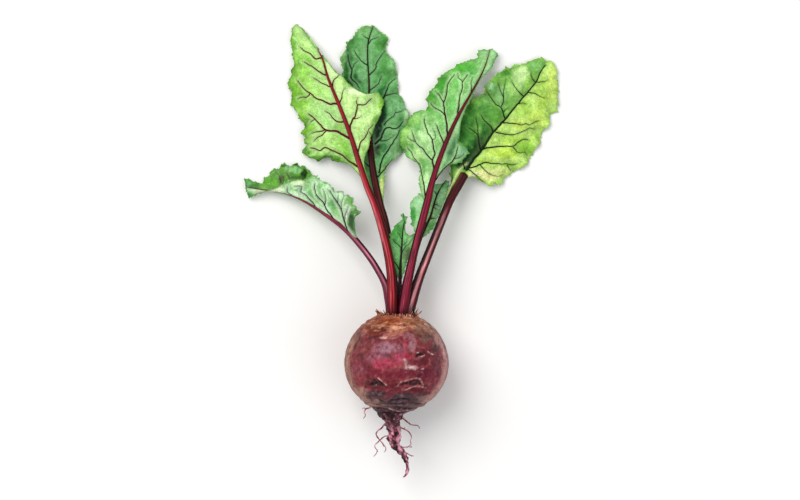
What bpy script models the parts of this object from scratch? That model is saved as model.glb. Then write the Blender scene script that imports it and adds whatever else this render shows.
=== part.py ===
"""A beetroot with its leaves on, as pulled from the ground, lying on its side.

The origin is on the surface that it lies on, at the middle of the small flat spot under the bulb.
+Z is up, +Y runs from the tap root to the leaves, and +X is to the right seen from above.
Tables of points are in millimetres, and everything that Blender is given is in metres.
"""

from math import cos, pi, radians, sin, sqrt
from typing import NamedTuple

import bmesh
import bpy
import numpy as np
from mathutils import Vector

MM = 0.001

# The bulb: a body of revolution about the Y axis, a little flatter towards the tap root.
BULB_RADIUS = 35.3
BULB_MIDDLE_Y = -1.0
BULB_TO_TOP = 34.6
BULB_TO_BOTTOM = 33.5
FLAT_DEPTH = 1.0
AXIS_HEIGHT = BULB_RADIUS - FLAT_DEPTH
CROWN_Y = 32.4
PROFILE_STEPS = 18
TURN_STEPS = 30

# Everything that grows from the root keeps this gap to it.
GAP = 0.3
BLADE_THICKNESS = 1.0
BLADE_CELLS_ALONG = 15
BLADE_CELLS_ACROSS = 10
BLADE_END = 0.985
# How far a blade may rise towards its stalk's side of it, for each unit across.
MOST_RISE = 0.3
FINE = 12

TAPROOT = [  # x, y, height above the bulb's axis, radius
    (-2.6, -24, 0, 14.0),
    (-3.8, -32, 0, 10.2),
    (-4.0, -35, 0, 8.2),
    (-3.5, -38.5, 0, 6.1),
    (-2.6, -42, -0.3, 4.7),
    (-1.5, -46.5, -0.8, 4.2),
    (-1.8, -51.5, -1.2, 3.7),
    (-1.2, -55.5, -1.6, 3.1),
    (1.4, -59, -2.0, 2.7),
    (4.8, -62.5, -2.6, 2.1),
    (6.7, -66.5, -3.4, 1.7),
    (7.3, -70.5, -4.4, 1.2),
    (7.2, -75, -5.6, 0.75),
    (4.5, -78.2, -6.6, 0.4),
]

SIDE_ROOTS = [  # each starts near the root: x, y, height above the bulb's axis; then its radius
    ([(-18.6, -31.0, 3), (-20.4, -31.5, 3.4), (-21.7, -33.5, 4), (-21.2, -36, 3.6), (-22.4, -38.4, 3)], 0.55),
    ([(-8.6, -42.9, 2), (-10.4, -44.8, 3), (-13.4, -47.4, 4), (-13.2, -50.4, 4.6), (-9.2, -55.2, 4.8),
      (-7.2, -58.8, 4.2), (-8.4, -60.8, 3.6)], 0.6),
    ([(-6.6, -50.0, -2), (-8.6, -50.6, -1.4), (-11, -52.8, -0.4), (-14.4, -56, 0.6), (-14.4, -58, 0.8),
      (-13, -60.6, 0.2), (-15.5, -64.1, -1)], 0.45),
    ([(5.2, -38.8, 2), (7.2, -40.4, 2.6), (10, -42.3, 3.4), (14.4, -42.9, 4), (15.9, -45, 3.6)], 0.55),
    ([(3.4, -44.6, -1), (6, -45.8, -0.4), (8.5, -47.6, 0.4), (10.2, -50.6, 1), (9.6, -54, 1.2),
      (9.8, -55.6, 1), (6.8, -58.4, 0.4)], 0.5),
    ([(4.6, -57.6, -2), (6, -57.8, -1.6), (7.4, -57.5, -1), (10.6, -57.8, -0.6)], 0.35),
    ([(7.7, -62.0, -3), (8.4, -62.6, -3), (9.4, -63.2, -2.6), (12, -63.8, -2.2)], 0.5),
    ([(1.0, -50.6, -5.4), (2.2, -53, -7.6), (1.6, -56.5, -9.4), (3.4, -60.4, -10.6)], 0.45),
]

DRY_LEAF_BASES = [  # turn about the bulb's axis in degrees, from its right side up; then length
    (8, 3.6),
    (48, 2.8),
    (118, 3.2),
    (160, 3.6),
    (205, 3.0),
    (262, 2.6),
    (318, 3.2),
]
DRY_BASE_RADIUS = 1.0
DRY_BASE_RING = 13.2
DRY_BASE_LEAN = 35


class Leaf(NamedTuple):
    """One leaf: the stalk runs on as the midrib, and the blade hangs between it and two edges.

    A stalk's point is x, y, z and half-width. An edge runs from the blade's foot to its tip.
    side is the way that the blade lies off the stalk, and first is the stalk's point where it starts.
    rod_points is how many of the stalk's points the rod has, where it stops short of the tip.
    """

    name: str
    colour: str
    side: tuple
    first: int
    stalk: list
    left: list
    right: list
    rod_points: int = 99


LEAVES = [
    Leaf(
        "tall_left",
        "8EC75A",
        (0, 0, -1),
        6,
        [(-2.2, 33, 40.7, 2.9), (-2.2, 37, 41.0, 2.9), (-2.5, 50, 41.2, 2.8), (-4.0, 65, 39.0, 2.8),
         (-8.3, 85, 34.8, 2.8), (-14.3, 105, 30.2, 2.5), (-20.0, 119, 27.0, 2.2), (-25.4, 135, 23.8, 1.9),
         (-31.7, 155, 20.4, 1.5), (-39.3, 175, 17.2, 1.2), (-46.2, 192, 13.6, 0.9), (-50.0, 205, 10.8, 0.6),
         (-54.0, 213, 8.6, 0.45), (-60.5, 222, 5.4, 0.35), (-68.8, 230, 2.8, 0.3)],
        [(-20.5, 119, 27), (-25, 126.5, 23), (-29.5, 132, 18), (-33.5, 135.3, 14), (-41, 136.2, 10),
         (-48, 138.6, 7), (-56, 139, 5), (-64, 142, 3.5), (-61.3, 148, 4.5), (-63.3, 155, 3.2),
         (-63.6, 161, 3), (-65.5, 167, 2.8), (-71.5, 176, 2), (-72.3, 184, 2.5), (-73.5, 190, 1.8),
         (-71.5, 197, 2.4), (-69.8, 204, 3.2), (-71.8, 214, 2.4), (-72.2, 222, 2.2), (-68.8, 230, 2.8)],
        [(-17.5, 119, 27), (-22.6, 134, 21.5), (-21, 140, 19), (-19, 145, 17), (-15.6, 155, 13.8),
         (-12.8, 164, 11.5), (-10.5, 171, 10), (-8.5, 176.5, 9), (-12.5, 183, 9), (-20, 180.4, 10),
         (-28.5, 185, 10.2), (-38.5, 195, 11), (-46, 202.5, 10.5), (-53.3, 212.3, 8), (-61.5, 222.8, 4),
         (-68.8, 230, 2.8)],
    ),
    Leaf(
        "back_centre",
        "5E9E55",
        (0, 0, -1),
        5,
        [(-0.8, 33, 30.0, 2.6), (-0.8, 37, 29.8, 2.6), (-2.2, 60, 27.6, 2.6), (-4.5, 78, 23.4, 2.6),
         (-8.0, 96, 18.6, 2.5), (-11.0, 106, 16.0, 2.5), (-14.6, 122, 12.8, 2.4), (-16.6, 134, 11.0, 2.2),
         (-18.0, 152, 9.2, 1.7), (-18.8, 175, 7.4, 1.0), (-18.7, 190, 6.9, 0.7), (-19.6, 205, 6.4, 0.6),
         (-19.3, 217, 5.4, 0.5), (-16, 229, 3.4, 0.35)],
        [(-13.5, 106, 15), (-17.5, 117, 11), (-20.5, 127, 8), (-24, 137, 4.5), (-29, 148, 2.5),
         (-33.5, 160, 1.2), (-36.5, 173, 0.5), (-38, 186, 1.4), (-37.2, 196, 2.5), (-38.6, 205, 0.9),
         (-36, 211.5, 2.0), (-34, 218, 0.7), (-29, 222, 2.2), (-25, 226.5, 1.6), (-20, 228.6, 1.6),
         (-16, 229, 2)],
        [(-8.8, 106, 15), (-8.7, 116, 11.5), (-8.0, 128, 8), (-5.5, 135.5, 5), (-1, 138.4, 3),
         (3.5, 142.5, 2), (7, 148, 1.6), (8.6, 156, 1.2), (8.4, 167, 1.0), (6.4, 177, 1.4), (3, 185, 2),
         (0.6, 194, 0.8), (-1, 203, 2.2), (-6.8, 210.5, 2.4), (-5.8, 219.5, 1), (-11, 225, 2),
         (-16, 229, 2)],
    ),
    Leaf(
        "drooping_left",
        "93C486",
        (0.5, 0.8, 0.33),
        5,
        [(-4.6, 33, 34.8, 2.3), (-4.7, 37, 34.9, 2.3), (-5.6, 43, 35.0, 2.3), (-8.4, 54, 34.2, 2.2),
         (-17.0, 69, 31.0, 2.1), (-28, 83, 26.6, 2.0), (-36, 91, 23.4, 1.9), (-45, 97.8, 20.0, 1.6),
         (-55, 104.6, 16.6, 1.3), (-65, 110.4, 13.4, 1.0), (-75, 114.2, 10.4, 0.8), (-85, 116, 7.8, 0.6),
         (-93, 117.2, 6.0, 0.45), (-103.5, 118.5, 4, 0.3)],
        [(-26.2, 85.2, 29), (-28.3, 92, 30), (-28.8, 98, 30), (-26.8, 103, 29), (-30.6, 109.5, 27),
         (-37, 115.2, 25), (-42.5, 116.5, 23.5), (-45.5, 121, 22), (-50.5, 123, 20.5), (-57.5, 126.5, 18.5),
         (-62, 123.7, 17), (-70, 122.5, 14.5), (-76, 121, 12.5), (-82, 118.8, 11), (-88, 116, 9),
         (-95, 113.4, 6.5), (-100.3, 111.3, 4.5), (-102.6, 114.5, 4), (-103.5, 118.5, 4)],
        [(-29.5, 85.5, 22), (-34, 97, 15), (-38, 106, 9), (-44, 114, 4.5), (-52, 121, 2.2),
         (-59, 127, 1.4), (-63.5, 134.3, 0.6), (-68, 135.2, 1.2), (-72, 132.8, 2.0), (-76, 134, 0.6),
         (-80.5, 131.8, 1.4), (-85.5, 130.5, 0.7), (-89.5, 125.5, 1.4), (-93, 121.8, 2.4), (-98, 122.2, 3),
         (-103, 124.2, 3), (-103.5, 118.5, 4)],
    ),
    Leaf(
        "upright_right",
        "86C266",
        (0, 0, -1),
        5,
        [(4.2, 33.1, 40.2, 2.9), (4.3, 37, 40.5, 2.9), (7.8, 56, 40.0, 2.8), (13.0, 79, 36.0, 2.6),
         (17.6, 96, 32.4, 2.6), (21.0, 109, 29.6, 2.5), (25.0, 125, 26.4, 1.9), (32.0, 145, 22.4, 1.5),
         (41.0, 165, 18.2, 1.15), (52.3, 185, 13.8, 0.65), (57.7, 195, 11.4, 0.5), (61, 203, 9.4, 0.4),
         (65.8, 213, 6, 0.3)],
        [(18.6, 109, 28), (16.9, 114, 25), (15.7, 122, 22), (15.6, 131, 18.5), (12, 136.5, 14.5),
         (6.2, 140.8, 10), (3.2, 146.3, 7.5), (2.2, 152.5, 6.6), (5, 159, 6.2), (9.5, 166.5, 5.6),
         (14, 169.6, 5.2), (19.8, 170, 5), (20.3, 177.5, 4), (24, 184.5, 3.4), (27.3, 190.8, 2.6),
         (33, 196.2, 3.2), (39.5, 199.6, 4.6), (44, 202.9, 4.8), (50, 205.5, 5.2), (57, 208.2, 5.6),
         (59.5, 211.8, 5), (65.8, 213, 5)],
        [(23.8, 109, 28), (26.2, 118, 26.5), (28.6, 126.5, 24.5), (32.5, 131.8, 22), (37, 134, 20),
         (41, 134.6, 18.5), (46, 138, 16.8), (48.8, 143, 16), (45.5, 147.8, 16), (42.5, 151.5, 16),
         (42.7, 158.5, 16), (45, 168, 15), (49.3, 177, 13.4), (54, 186, 11.6), (58, 193.2, 10),
         (62.5, 197, 8.6), (65.3, 201.8, 7.6), (68.6, 208.3, 6.2), (65.8, 213, 5)],
    ),
    Leaf(
        "broad_right",
        "A9D163",
        (0, 0, -1),
        5,
        [(8.8, 33, 35.4, 2.6), (9.1, 36.5, 35.4, 2.6), (14.6, 55, 33.8, 2.5), (23.2, 77, 28.6, 2.3),
         (32, 99, 22.4, 2.4), (36.6, 110, 19.6, 2.5), (41.6, 119, 17.4, 2.5), (47.2, 128.6, 15.6, 2.1),
         (52, 136.2, 13.6, 0.3), (57.6, 143.8, 11.8, 0.3), (66, 156, 9.6, 0.3), (75, 166.5, 8.0, 0.3),
         (84, 177, 6.6, 0.3), (92, 186.8, 5.4, 0.3), (97.6, 195, 4.4, 0.3), (102, 204.8, 3.4, 0.3)],
        [(33.6, 110, 15.4), (36.2, 116, 13.6), (37.8, 124, 12), (37.6, 133, 10.5), (36, 143, 8.5),
         (36.4, 153, 6.8), (39.5, 162, 5.6), (44.5, 170.5, 4.6), (50.5, 177, 3.8), (57.6, 182.8, 3),
         (61.2, 189.4, 2.2), (66, 193.8, 2.0), (73, 198.9, 0.8), (80, 201.8, 1.6), (87, 202.8, 0.7),
         (95, 206.4, 2), (100, 206.6, 1.8), (102, 204.8, 2.4)],
        [(39.6, 110, 15.4), (43.5, 117, 13.6), (48.2, 125.4, 12.4), (51.5, 127.2, 11.4), (57.5, 123.4, 8.6),
         (62.5, 119.9, 5.2), (68.5, 121.3, 3.0), (74.5, 125.6, 1.6), (82, 131.6, 0.7), (88, 136, 1.6),
         (92, 143.2, 0.8), (97.4, 150.8, 1.5), (102, 158.5, 0.7), (104, 166, 1.6), (108.6, 170.5, 1.2),
         (109.6, 179, 0.6), (110.3, 189, 1.6), (108.8, 198.6, 0.8), (105, 204, 2), (102, 204.8, 2.4)],
        rod_points=8,
    ),
    Leaf(
        "young_centre",
        "62A656",
        (0, 0, -1),
        3,
        [(1.3, 33, 35.5, 1.6), (1.4, 37, 35.3, 1.6), (2.0, 46, 34.6, 1.5), (2.4, 56, 33.0, 1.2),
         (2.9, 68, 31.0, 0.9), (3.6, 78, 29.2, 0.7), (4.2, 88, 27.2, 0.5), (5.2, 95, 25.4, 0.35),
         (4.6, 101.3, 23.4, 0.25)],
        [(1.2, 56, 32), (-0.4, 62, 31.6), (-2.6, 67.5, 31), (-4, 73, 30.4), (-4.9, 80, 29.4),
         (-4.2, 87, 28.6), (-1.2, 92.4, 27.6), (2.8, 95.6, 26.2), (4.6, 97.5, 24.8), (3.4, 99.6, 23.6),
         (4.6, 101.3, 23)],
        [(3.8, 56, 32), (5.2, 61, 31.6), (7.6, 68, 30.6), (9.8, 75, 29.6), (12, 81, 28.6), (13, 86, 27.6),
         (9.5, 85.8, 27.2), (6.8, 87.2, 27), (5.8, 91, 26), (6.6, 95, 24.8), (7.2, 98, 23.8),
         (4.6, 101.3, 23)],
    ),
    Leaf(
        "small_right",
        "7DB873",
        (0, 0, -1),
        4,
        [(5.4, 33, 30.4, 2.0), (5.5, 36.5, 30.2, 2.0), (8.6, 56, 26.6, 1.9), (11.4, 69, 23.6, 1.8),
         (16.2, 84, 20.0, 1.5), (19.8, 92, 18.2, 1.1), (23.2, 99, 16.6, 0.9), (25.6, 107.5, 14.4, 0.7),
         (28.6, 115.4, 11.8, 0.5), (33.6, 123.8, 8.2, 0.35)],
        [(14.2, 85.2, 18.6), (11.4, 90, 17.5), (10, 96, 16.4), (9, 104, 15.2), (11, 109.8, 14.2),
         (15.4, 113.8, 13.2), (20, 115.5, 12.4), (25, 119.4, 11), (29, 120.9, 9.6), (33.6, 123.8, 8)],
        [(17.8, 84, 18.6), (21.5, 87.6, 17), (25.8, 92.3, 15.4), (28.6, 99, 13.8), (31.4, 105, 12.4),
         (33.8, 111.5, 11), (35.2, 117, 9.8), (36.3, 120.8, 8.6), (33.6, 123.8, 8)],
    ),
]


def smooth(points, count):
    """Points at even steps along a smooth curve through the given ones; further columns follow."""
    given = np.array(points, float)
    guided = np.vstack([2 * given[0] - given[1], given, 2 * given[-1] - given[-2]])
    t = np.linspace(0, 1, FINE, endpoint=False)[:, None]
    spans = [
        0.5 * (2 * b + (c - a) * t + (2 * a - 5 * b + 4 * c - d) * t**2 + (3 * b - a - 3 * c + d) * t**3)
        for a, b, c, d in zip(guided, guided[1:], guided[2:], guided[3:])
    ]
    dense = np.vstack([*spans, given[-1:]])
    steps = np.linalg.norm(np.diff(dense[:, :3], axis=0), axis=1)
    run = np.concatenate([[0], np.cumsum(steps)])
    at = np.linspace(0, run[-1], count)
    return np.column_stack([np.interp(at, run, column) for column in dense.T])


def material(name, hex_colour, roughness):
    """A Principled BSDF of one colour, given as sRGB."""
    srgb = [int(hex_colour[i:i + 2], 16) / 255 for i in (0, 2, 4)]
    linear = [c / 12.92 if c <= 0.04045 else ((c + 0.055) / 1.055) ** 2.4 for c in srgb]
    made = bpy.data.materials.new(name)
    made.use_nodes = True
    shader = made.node_tree.nodes["Principled BSDF"]
    shader.inputs["Base Color"].default_value = (*linear, 1)
    shader.inputs["Roughness"].default_value = roughness
    shader.inputs["Metallic"].default_value = 0
    return made


def collection(name):
    made = bpy.data.collections.new(name)
    bpy.context.scene.collection.children.link(made)
    return made


def put(name, data, into, finish=None):
    """A new object of this mesh or curve, in the collection."""
    made = bpy.data.objects.new(name, data)
    into.objects.link(made)
    if finish:
        data.materials.append(finish)
    return made


def tube(name, points, into, finish, sides_each_half=2):
    """A round tapering rod along the points, each x, y, z and radius in millimetres."""
    curve = bpy.data.curves.new(name, "CURVE")
    curve.dimensions = "3D"
    curve.bevel_depth = MM
    curve.bevel_resolution = sides_each_half
    curve.use_fill_caps = True
    line = curve.splines.new("POLY")
    line.points.add(len(points) - 1)
    for spot, (x, y, z, radius) in zip(line.points, points):
        spot.co = (x * MM, y * MM, z * MM, 1)
        spot.radius = radius
    return put(name, curve, into, finish)


def as_mesh(obj, into, finish):
    """The object's evaluated shape as a mesh object with welded caps, in its place."""
    graph = bpy.context.evaluated_depsgraph_get()
    mesh = bpy.data.meshes.new_from_object(obj.evaluated_get(graph))
    shape = bmesh.new()
    shape.from_mesh(mesh)
    bmesh.ops.remove_doubles(shape, verts=shape.verts, dist=0.01 * MM)
    shape.to_mesh(mesh)
    shape.free()
    name, place = obj.name, obj.matrix_world.copy()
    bpy.data.objects.remove(obj)
    mesh.materials.clear()
    made = put(name, mesh, into, finish)
    made.matrix_world = place
    return made


def boolean(target, other, operation):
    """Joins or cuts the target with the other object."""
    made = target.modifiers.new(f"{operation} {other.name}", "BOOLEAN")
    made.operation = operation
    made.object = other


def helper(obj):
    """Marks an object as a cutter or a shape to join, which isn't a part of its own."""
    obj.hide_render = True
    obj.display_type = "WIRE"
    return obj


def bulb(into, finish):
    """The turned body of the root, crown plane up the profile's axis, laid along +Y."""
    crown_turn = np.arcsin((CROWN_Y - BULB_MIDDLE_Y) / BULB_TO_TOP)
    profile = [(0, CROWN_Y)]
    for turn in np.linspace(crown_turn, -pi / 2, PROFILE_STEPS):
        half_height = BULB_TO_TOP if turn > 0 else BULB_TO_BOTTOM
        profile.append((BULB_RADIUS * cos(turn), BULB_MIDDLE_Y + half_height * sin(turn)))
    mesh = bpy.data.meshes.new("beet_root")
    edges = [(i, i + 1) for i in range(len(profile) - 1)]
    mesh.from_pydata([(r * MM, 0, y * MM) for r, y in profile], edges, [])
    made = put("beet_root", mesh, into, finish)
    turned = made.modifiers.new("Turn", "SCREW")
    turned.steps = turned.render_steps = TURN_STEPS
    turned.use_merge_vertices = True
    turned.merge_threshold = 0.01 * MM
    made.rotation_euler = (radians(-90), 0, 0)
    made.location = (0, 0, AXIS_HEIGHT * MM)
    bpy.context.view_layer.update()
    return as_mesh(made, into, finish)


def root(parts, cutters, finish):
    """The bulb with its tap root, and the small flat spot that it rests on."""
    made = bulb(parts, finish)
    line = [(x, y, AXIS_HEIGHT + z, radius) for x, y, z, radius in TAPROOT]
    tap = as_mesh(tube("tap_root", smooth(line, 22), cutters, None), cutters, None)
    boolean(made, helper(tap), "UNION")
    side = 4 * BULB_RADIUS * MM
    block = bmesh.new()
    bmesh.ops.create_cube(block, size=side)
    mesh = bpy.data.meshes.new("ground")
    block.to_mesh(mesh)
    block.free()
    ground = put("ground", mesh, cutters)
    ground.location = (0, 0, -side / 2)
    boolean(made, helper(ground), "DIFFERENCE")
    return made


def side_roots(parts, finish):
    """The thin roots that leave the bulb and the tap root, each thinner towards its end."""
    for number, (route, radius) in enumerate(SIDE_ROOTS, start=1):
        line = smooth(route, 9)
        taper = np.linspace(radius, 0.5 * radius, len(line))
        points = [(x, y, AXIS_HEIGHT + z, r) for (x, y, z), r in zip(line, taper)]
        tube(f"side_root_{number}", points, parts, finish, sides_each_half=1)


def dry_leaf_bases(parts, finish):
    """The withered stubs of shed leaves that ring the crown, pointing up and outwards."""
    drop = 1 - (DRY_BASE_RING / BULB_RADIUS) ** 2
    foot_y = BULB_MIDDLE_Y + BULB_TO_TOP * sqrt(drop) + DRY_BASE_RADIUS + GAP
    for number, (turn, length) in enumerate(DRY_LEAF_BASES, start=1):
        out = Vector((cos(radians(turn)), 0, sin(radians(turn))))
        way = out * sin(radians(DRY_BASE_LEAN)) + Vector((0, cos(radians(DRY_BASE_LEAN)), 0))
        foot = out * DRY_BASE_RING + Vector((0, foot_y, AXIS_HEIGHT))
        ends = [(*foot, DRY_BASE_RADIUS), (*(foot + way * length), 0.35 * DRY_BASE_RADIUS)]
        tube(f"dry_leaf_base_{number}", ends, parts, finish, sides_each_half=1)


def blade_surface(leaf):
    """A function that gives the point of the blade at u along (0 to 1) and v across (-1 to 1)."""
    rows = 4 * BLADE_CELLS_ALONG
    midrib = smooth(leaf.stalk[leaf.first:], rows)
    side = np.array(Vector(leaf.side).normalized())
    off = (midrib[:, 3:] + 1.2 * GAP + BLADE_THICKNESS / 2) * sqrt(1 + MOST_RISE**2)
    middle = midrib[:, :3] + off * side

    def edge_rail(points):
        rail = smooth(points, rows)
        reach = rail - midrib[:, :3]
        away = reach @ side
        across = np.linalg.norm(reach - np.outer(away, side), axis=1)
        short = np.maximum(off[:, 0] - MOST_RISE * across - away, 0)
        return rail + np.outer(short, side)

    edges = {-1: edge_rail(leaf.left), 1: edge_rail(leaf.right)}

    def point(u, v):
        row = u * (rows - 1)
        low = min(int(row), rows - 2)
        share = row - low
        centre = middle[low] * (1 - share) + middle[low + 1] * share
        edge = edges[1 if v > 0 else -1]
        end = edge[low] * (1 - share) + edge[low + 1] * share
        return Vector(centre + (end - centre) * abs(v)) * MM

    return point


def blade(leaf, parts, finish):
    """The blade as a thin sheet: a grid laid between the midrib and the two edges."""
    surface = blade_surface(leaf)
    sheet = bmesh.new()
    bmesh.ops.create_grid(sheet, x_segments=BLADE_CELLS_ALONG, y_segments=BLADE_CELLS_ACROSS, size=1)
    for vertex in sheet.verts:
        vertex.co = surface((vertex.co.x + 1) / 2 * BLADE_END, vertex.co.y)
    mesh = bpy.data.meshes.new(f"{leaf.name}_blade")
    sheet.to_mesh(mesh)
    sheet.free()
    mesh.shade_smooth()
    made = put(mesh.name, mesh, parts, finish)
    wall = made.modifiers.new("Thickness", "SOLIDIFY")
    wall.thickness = BLADE_THICKNESS * MM
    wall.offset = 0
    return made


def leaves(parts, stalk_finish):
    """Each leaf as its stalk, which runs on as the midrib, and its blade."""
    for leaf in LEAVES:
        tube(f"{leaf.name}_stalk", smooth(leaf.stalk[:leaf.rod_points], 15), parts, stalk_finish)
        blade(leaf, parts, material(f"{leaf.name} leaf", leaf.colour, 0.5))


def main():
    for obj in list(bpy.data.objects):
        bpy.data.objects.remove(obj)
    parts = collection("beetroot")
    cutters = collection("cutters")
    skin = material("root skin", "7B3040", 0.55)
    root(parts, cutters, skin)
    side_roots(parts, material("fine root", "B26F7F", 0.7))
    dry_leaf_bases(parts, material("withered stalk", "8A5A42", 0.85))
    leaves(parts, material("red stalk", "A02A42", 0.4))


main()
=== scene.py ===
"""The looks of a beetroot as pulled from the ground, lying on its side on a pale floor.

The bulb with its tap root, the fine side roots, the withered stubs round the crown and seven
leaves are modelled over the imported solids, in the same frame: +Z up, +Y towards the leaves.
Tables of points are in millimetres, and Blender is given metres.
"""

import logging
import math
from collections.abc import Callable, Sequence
from dataclasses import dataclass
from enum import Enum

import bpy
import numpy as np
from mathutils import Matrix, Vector, noise
from mathutils.bvhtree import BVHTree
from mathutils.kdtree import KDTree


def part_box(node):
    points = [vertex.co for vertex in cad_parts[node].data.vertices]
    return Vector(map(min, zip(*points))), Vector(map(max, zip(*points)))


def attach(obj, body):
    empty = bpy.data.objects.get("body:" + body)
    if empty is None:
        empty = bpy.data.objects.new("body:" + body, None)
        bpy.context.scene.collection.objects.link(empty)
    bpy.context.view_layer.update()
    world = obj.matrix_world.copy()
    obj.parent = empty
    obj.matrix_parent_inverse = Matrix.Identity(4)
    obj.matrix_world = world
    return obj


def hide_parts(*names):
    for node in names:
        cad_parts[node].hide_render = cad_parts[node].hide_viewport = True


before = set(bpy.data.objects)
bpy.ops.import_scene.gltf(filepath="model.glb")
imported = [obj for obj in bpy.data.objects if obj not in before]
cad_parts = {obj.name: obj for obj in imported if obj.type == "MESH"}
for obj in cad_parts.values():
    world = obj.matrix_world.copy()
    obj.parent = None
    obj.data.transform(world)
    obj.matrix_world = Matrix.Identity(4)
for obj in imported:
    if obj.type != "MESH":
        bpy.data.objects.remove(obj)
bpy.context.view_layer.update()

MM = 0.001
BODY = "root"
# Lengths in mm: the bulb's axis over the floor, what counts as nowhere near, a height over every
# piece, and how close two points are when they are welded.
AXIS_HEIGHT = 34.3
FAR = 99.0
OVERHEAD = 120
WELD = 0.004
DOWN = Vector((0, 0, -1))
ALONG = Vector((0, 1, 0))
# The turn in radians from one scale to the next that never repeats.
GOLDEN_TURN = 2.39996
# Nearly all of a noise node's values lie between these.
NOISE_LOW, NOISE_HIGH = 0.3, 0.7
# How far from facing the eye the painted shade on a skin's rim starts, and how much its roughness varies.
RIM_SHADE_FROM = 0.62
ROUGHNESS_PLAY = 0.08
log = logging.getLogger("beetroot")
Piece = bpy.types.Object
Socket = bpy.types.NodeSocket


class Half(Enum):
    """Which half of a blade a colour or a vein lies on, seen from its foot to its tip."""

    LEFT = "left"
    RIGHT = "right"
    BOTH = "both"


class Relief(Enum):
    """What a mark on the skin does to its surface: how it shifts it, and how pale it is painted; a ridge's
    paleness is partly painted highlight, and a groove's or pit's darkness partly painted shade.
    """

    RIDGE = (0.35, 1.0)
    SCUFF = (0.05, 0.8)
    GROOVE = (-0.45, -1.0)
    PIT = (-0.9, -1.3)


@dataclass(frozen=True)
class Wash:
    """A soft patch of colour: its middle and half sizes in mm, its colour and how strong it is. Some
    patches are the thing's own colour, and some are painted light and shade, as noted where they are laid.
    """

    x: float
    y: float
    rx: float
    ry: float
    colour: str
    strength: float = 0.8
    half: Half = Half.BOTH


@dataclass(frozen=True)
class Vein:
    """A side vein: where it runs, in mm as seen from above, and its half-width at its start."""

    route: Sequence[tuple[float, float]]
    width: float = 0.55


@dataclass(frozen=True)
class Mark:
    """A line on the skin, in mm as seen from above, with its half-width and its relief."""

    relief: Relief
    route: Sequence[tuple[float, float]]
    width: float = 0.7


# ---------------------------------------------------------------- points and colours


def linear(hex_colour: str) -> np.ndarray:
    """Turns an sRGB hex colour to linear light.

    Args:
        hex_colour: six hex digits.

    Returns:
        Three linear values from 0 to 1.
    """
    srgb = np.array([int(hex_colour[i : i + 2], 16) for i in (0, 2, 4)]) / 255
    return np.where(srgb <= 0.04045, srgb / 12.92, ((srgb + 0.055) / 1.055) ** 2.4)


def smooth(points: Sequence, count: int) -> np.ndarray:
    """Walks a smooth curve through points in even steps.

    Args:
        points: rows of x, y, z and any further columns, which follow along.
        count: how many points to return.

    Returns:
        An array of count rows.
    """
    given = np.array(points, float)
    guided = np.vstack([2 * given[0] - given[1], given, 2 * given[-1] - given[-2]])
    t = np.linspace(0, 1, 12, endpoint=False)[:, None]
    spans = [
        0.5 * (2 * b + (c - a) * t + (2 * a - 5 * b + 4 * c - d) * t**2 + (3 * b - a - 3 * c + d) * t**3)
        for a, b, c, d in zip(guided, guided[1:], guided[2:], guided[3:])
    ]
    return evenly(np.vstack([*spans, given[-1:]]), count, 3)


def evenly(rows: np.ndarray, count: int, measured: int) -> np.ndarray:
    """Walks along rows in count even steps, with lengths taken over the first measured columns."""
    steps = np.linalg.norm(np.diff(rows[:, :measured], axis=0), axis=1)
    run = np.concatenate([[0], np.cumsum(steps)])
    at = np.linspace(0, run[-1], count)
    return np.column_stack([np.interp(at, run, column) for column in rows.T])


def length(points: np.ndarray) -> float:
    """How long the line through the points is."""
    return np.linalg.norm(np.diff(points, axis=0), axis=1).sum()


def unit(rows: np.ndarray) -> np.ndarray:
    """The rows, each scaled to a length of 1."""
    return rows / np.linalg.norm(rows, axis=1)[:, None]


def square_to(way: np.ndarray) -> tuple[np.ndarray, np.ndarray]:
    """For each row of way, the level direction and the rising one at right angles to it."""
    out = unit(np.cross(way, (0, 0, 1)))
    return out, np.cross(out, way)


def bell(values: np.ndarray, width: float) -> np.ndarray:
    """1 at 0, and falling off on both sides over the width."""
    return np.exp(-((values / width) ** 2))


def grain(points: np.ndarray, size: float, octaves: int = 3, shift: float = 0.0) -> np.ndarray:
    """Smooth noise over points, whose largest lumps are about size mm across.

    Args:
        points: rows of x, y, z in mm.
        size: the width of a lump in mm.
        octaves: how many finer layers it has.
        shift: moves the pattern, so that two patterns differ.

    Returns:
        A value of about -1 to 1 for each point.
    """
    away = Vector((shift * 7.3, shift * 3.1, shift * 5.7))
    return np.array([noise.fractal(Vector(p) / size + away, 1.0, 2.0, octaves) for p in points])


def step(low: float, high: float, values: np.ndarray) -> np.ndarray:
    """A smooth step from 0 at low to 1 at high."""
    t = np.clip((values - low) / (high - low), 0, 1)
    return t * t * (3 - 2 * t)


def mix(base: np.ndarray, colour: str, share: np.ndarray) -> np.ndarray:
    """Lays a colour over base colours by a share for each point."""
    share = np.clip(share, 0, 1)[:, None]
    return base * (1 - share) + linear(colour) * share


def plain(colour: str, points: np.ndarray) -> np.ndarray:
    """The same colour for every point."""
    return np.tile(linear(colour), (len(points), 1))


def wash_over(
    points: np.ndarray, base: np.ndarray, washes: Sequence[Wash], side: np.ndarray, ragged: float = 0.34
) -> np.ndarray:
    """Lays soft patches of colour over a surface, with uneven edges.

    Args:
        points: rows of x, y, z in mm.
        base: the colour of each point so far.
        washes: the patches, laid in order.
        side: below 0 on the left half, above 0 on the right one, for each point.
        ragged: how uneven a patch's edge is.

    Returns:
        The new colour of each point.
    """
    ripple = ragged * (grain(points, 8, 4) + 0.7 * grain(points, 2.6, 3, 4))
    streaks = 1 + 0.22 * grain(points, 1.7, 2, 14)
    for wash in washes:
        reach = np.hypot((points[:, 0] - wash.x) / wash.rx, (points[:, 1] - wash.y) / wash.ry)
        share = wash.strength * (1 - step(0.5, 1.25, reach + ripple)) * streaks
        if wash.half is not Half.BOTH:
            share = share * ((side < 0) == (wash.half is Half.LEFT))
        base = mix(base, wash.colour, share)
    return base


# ---------------------------------------------------------------- meshes


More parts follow.
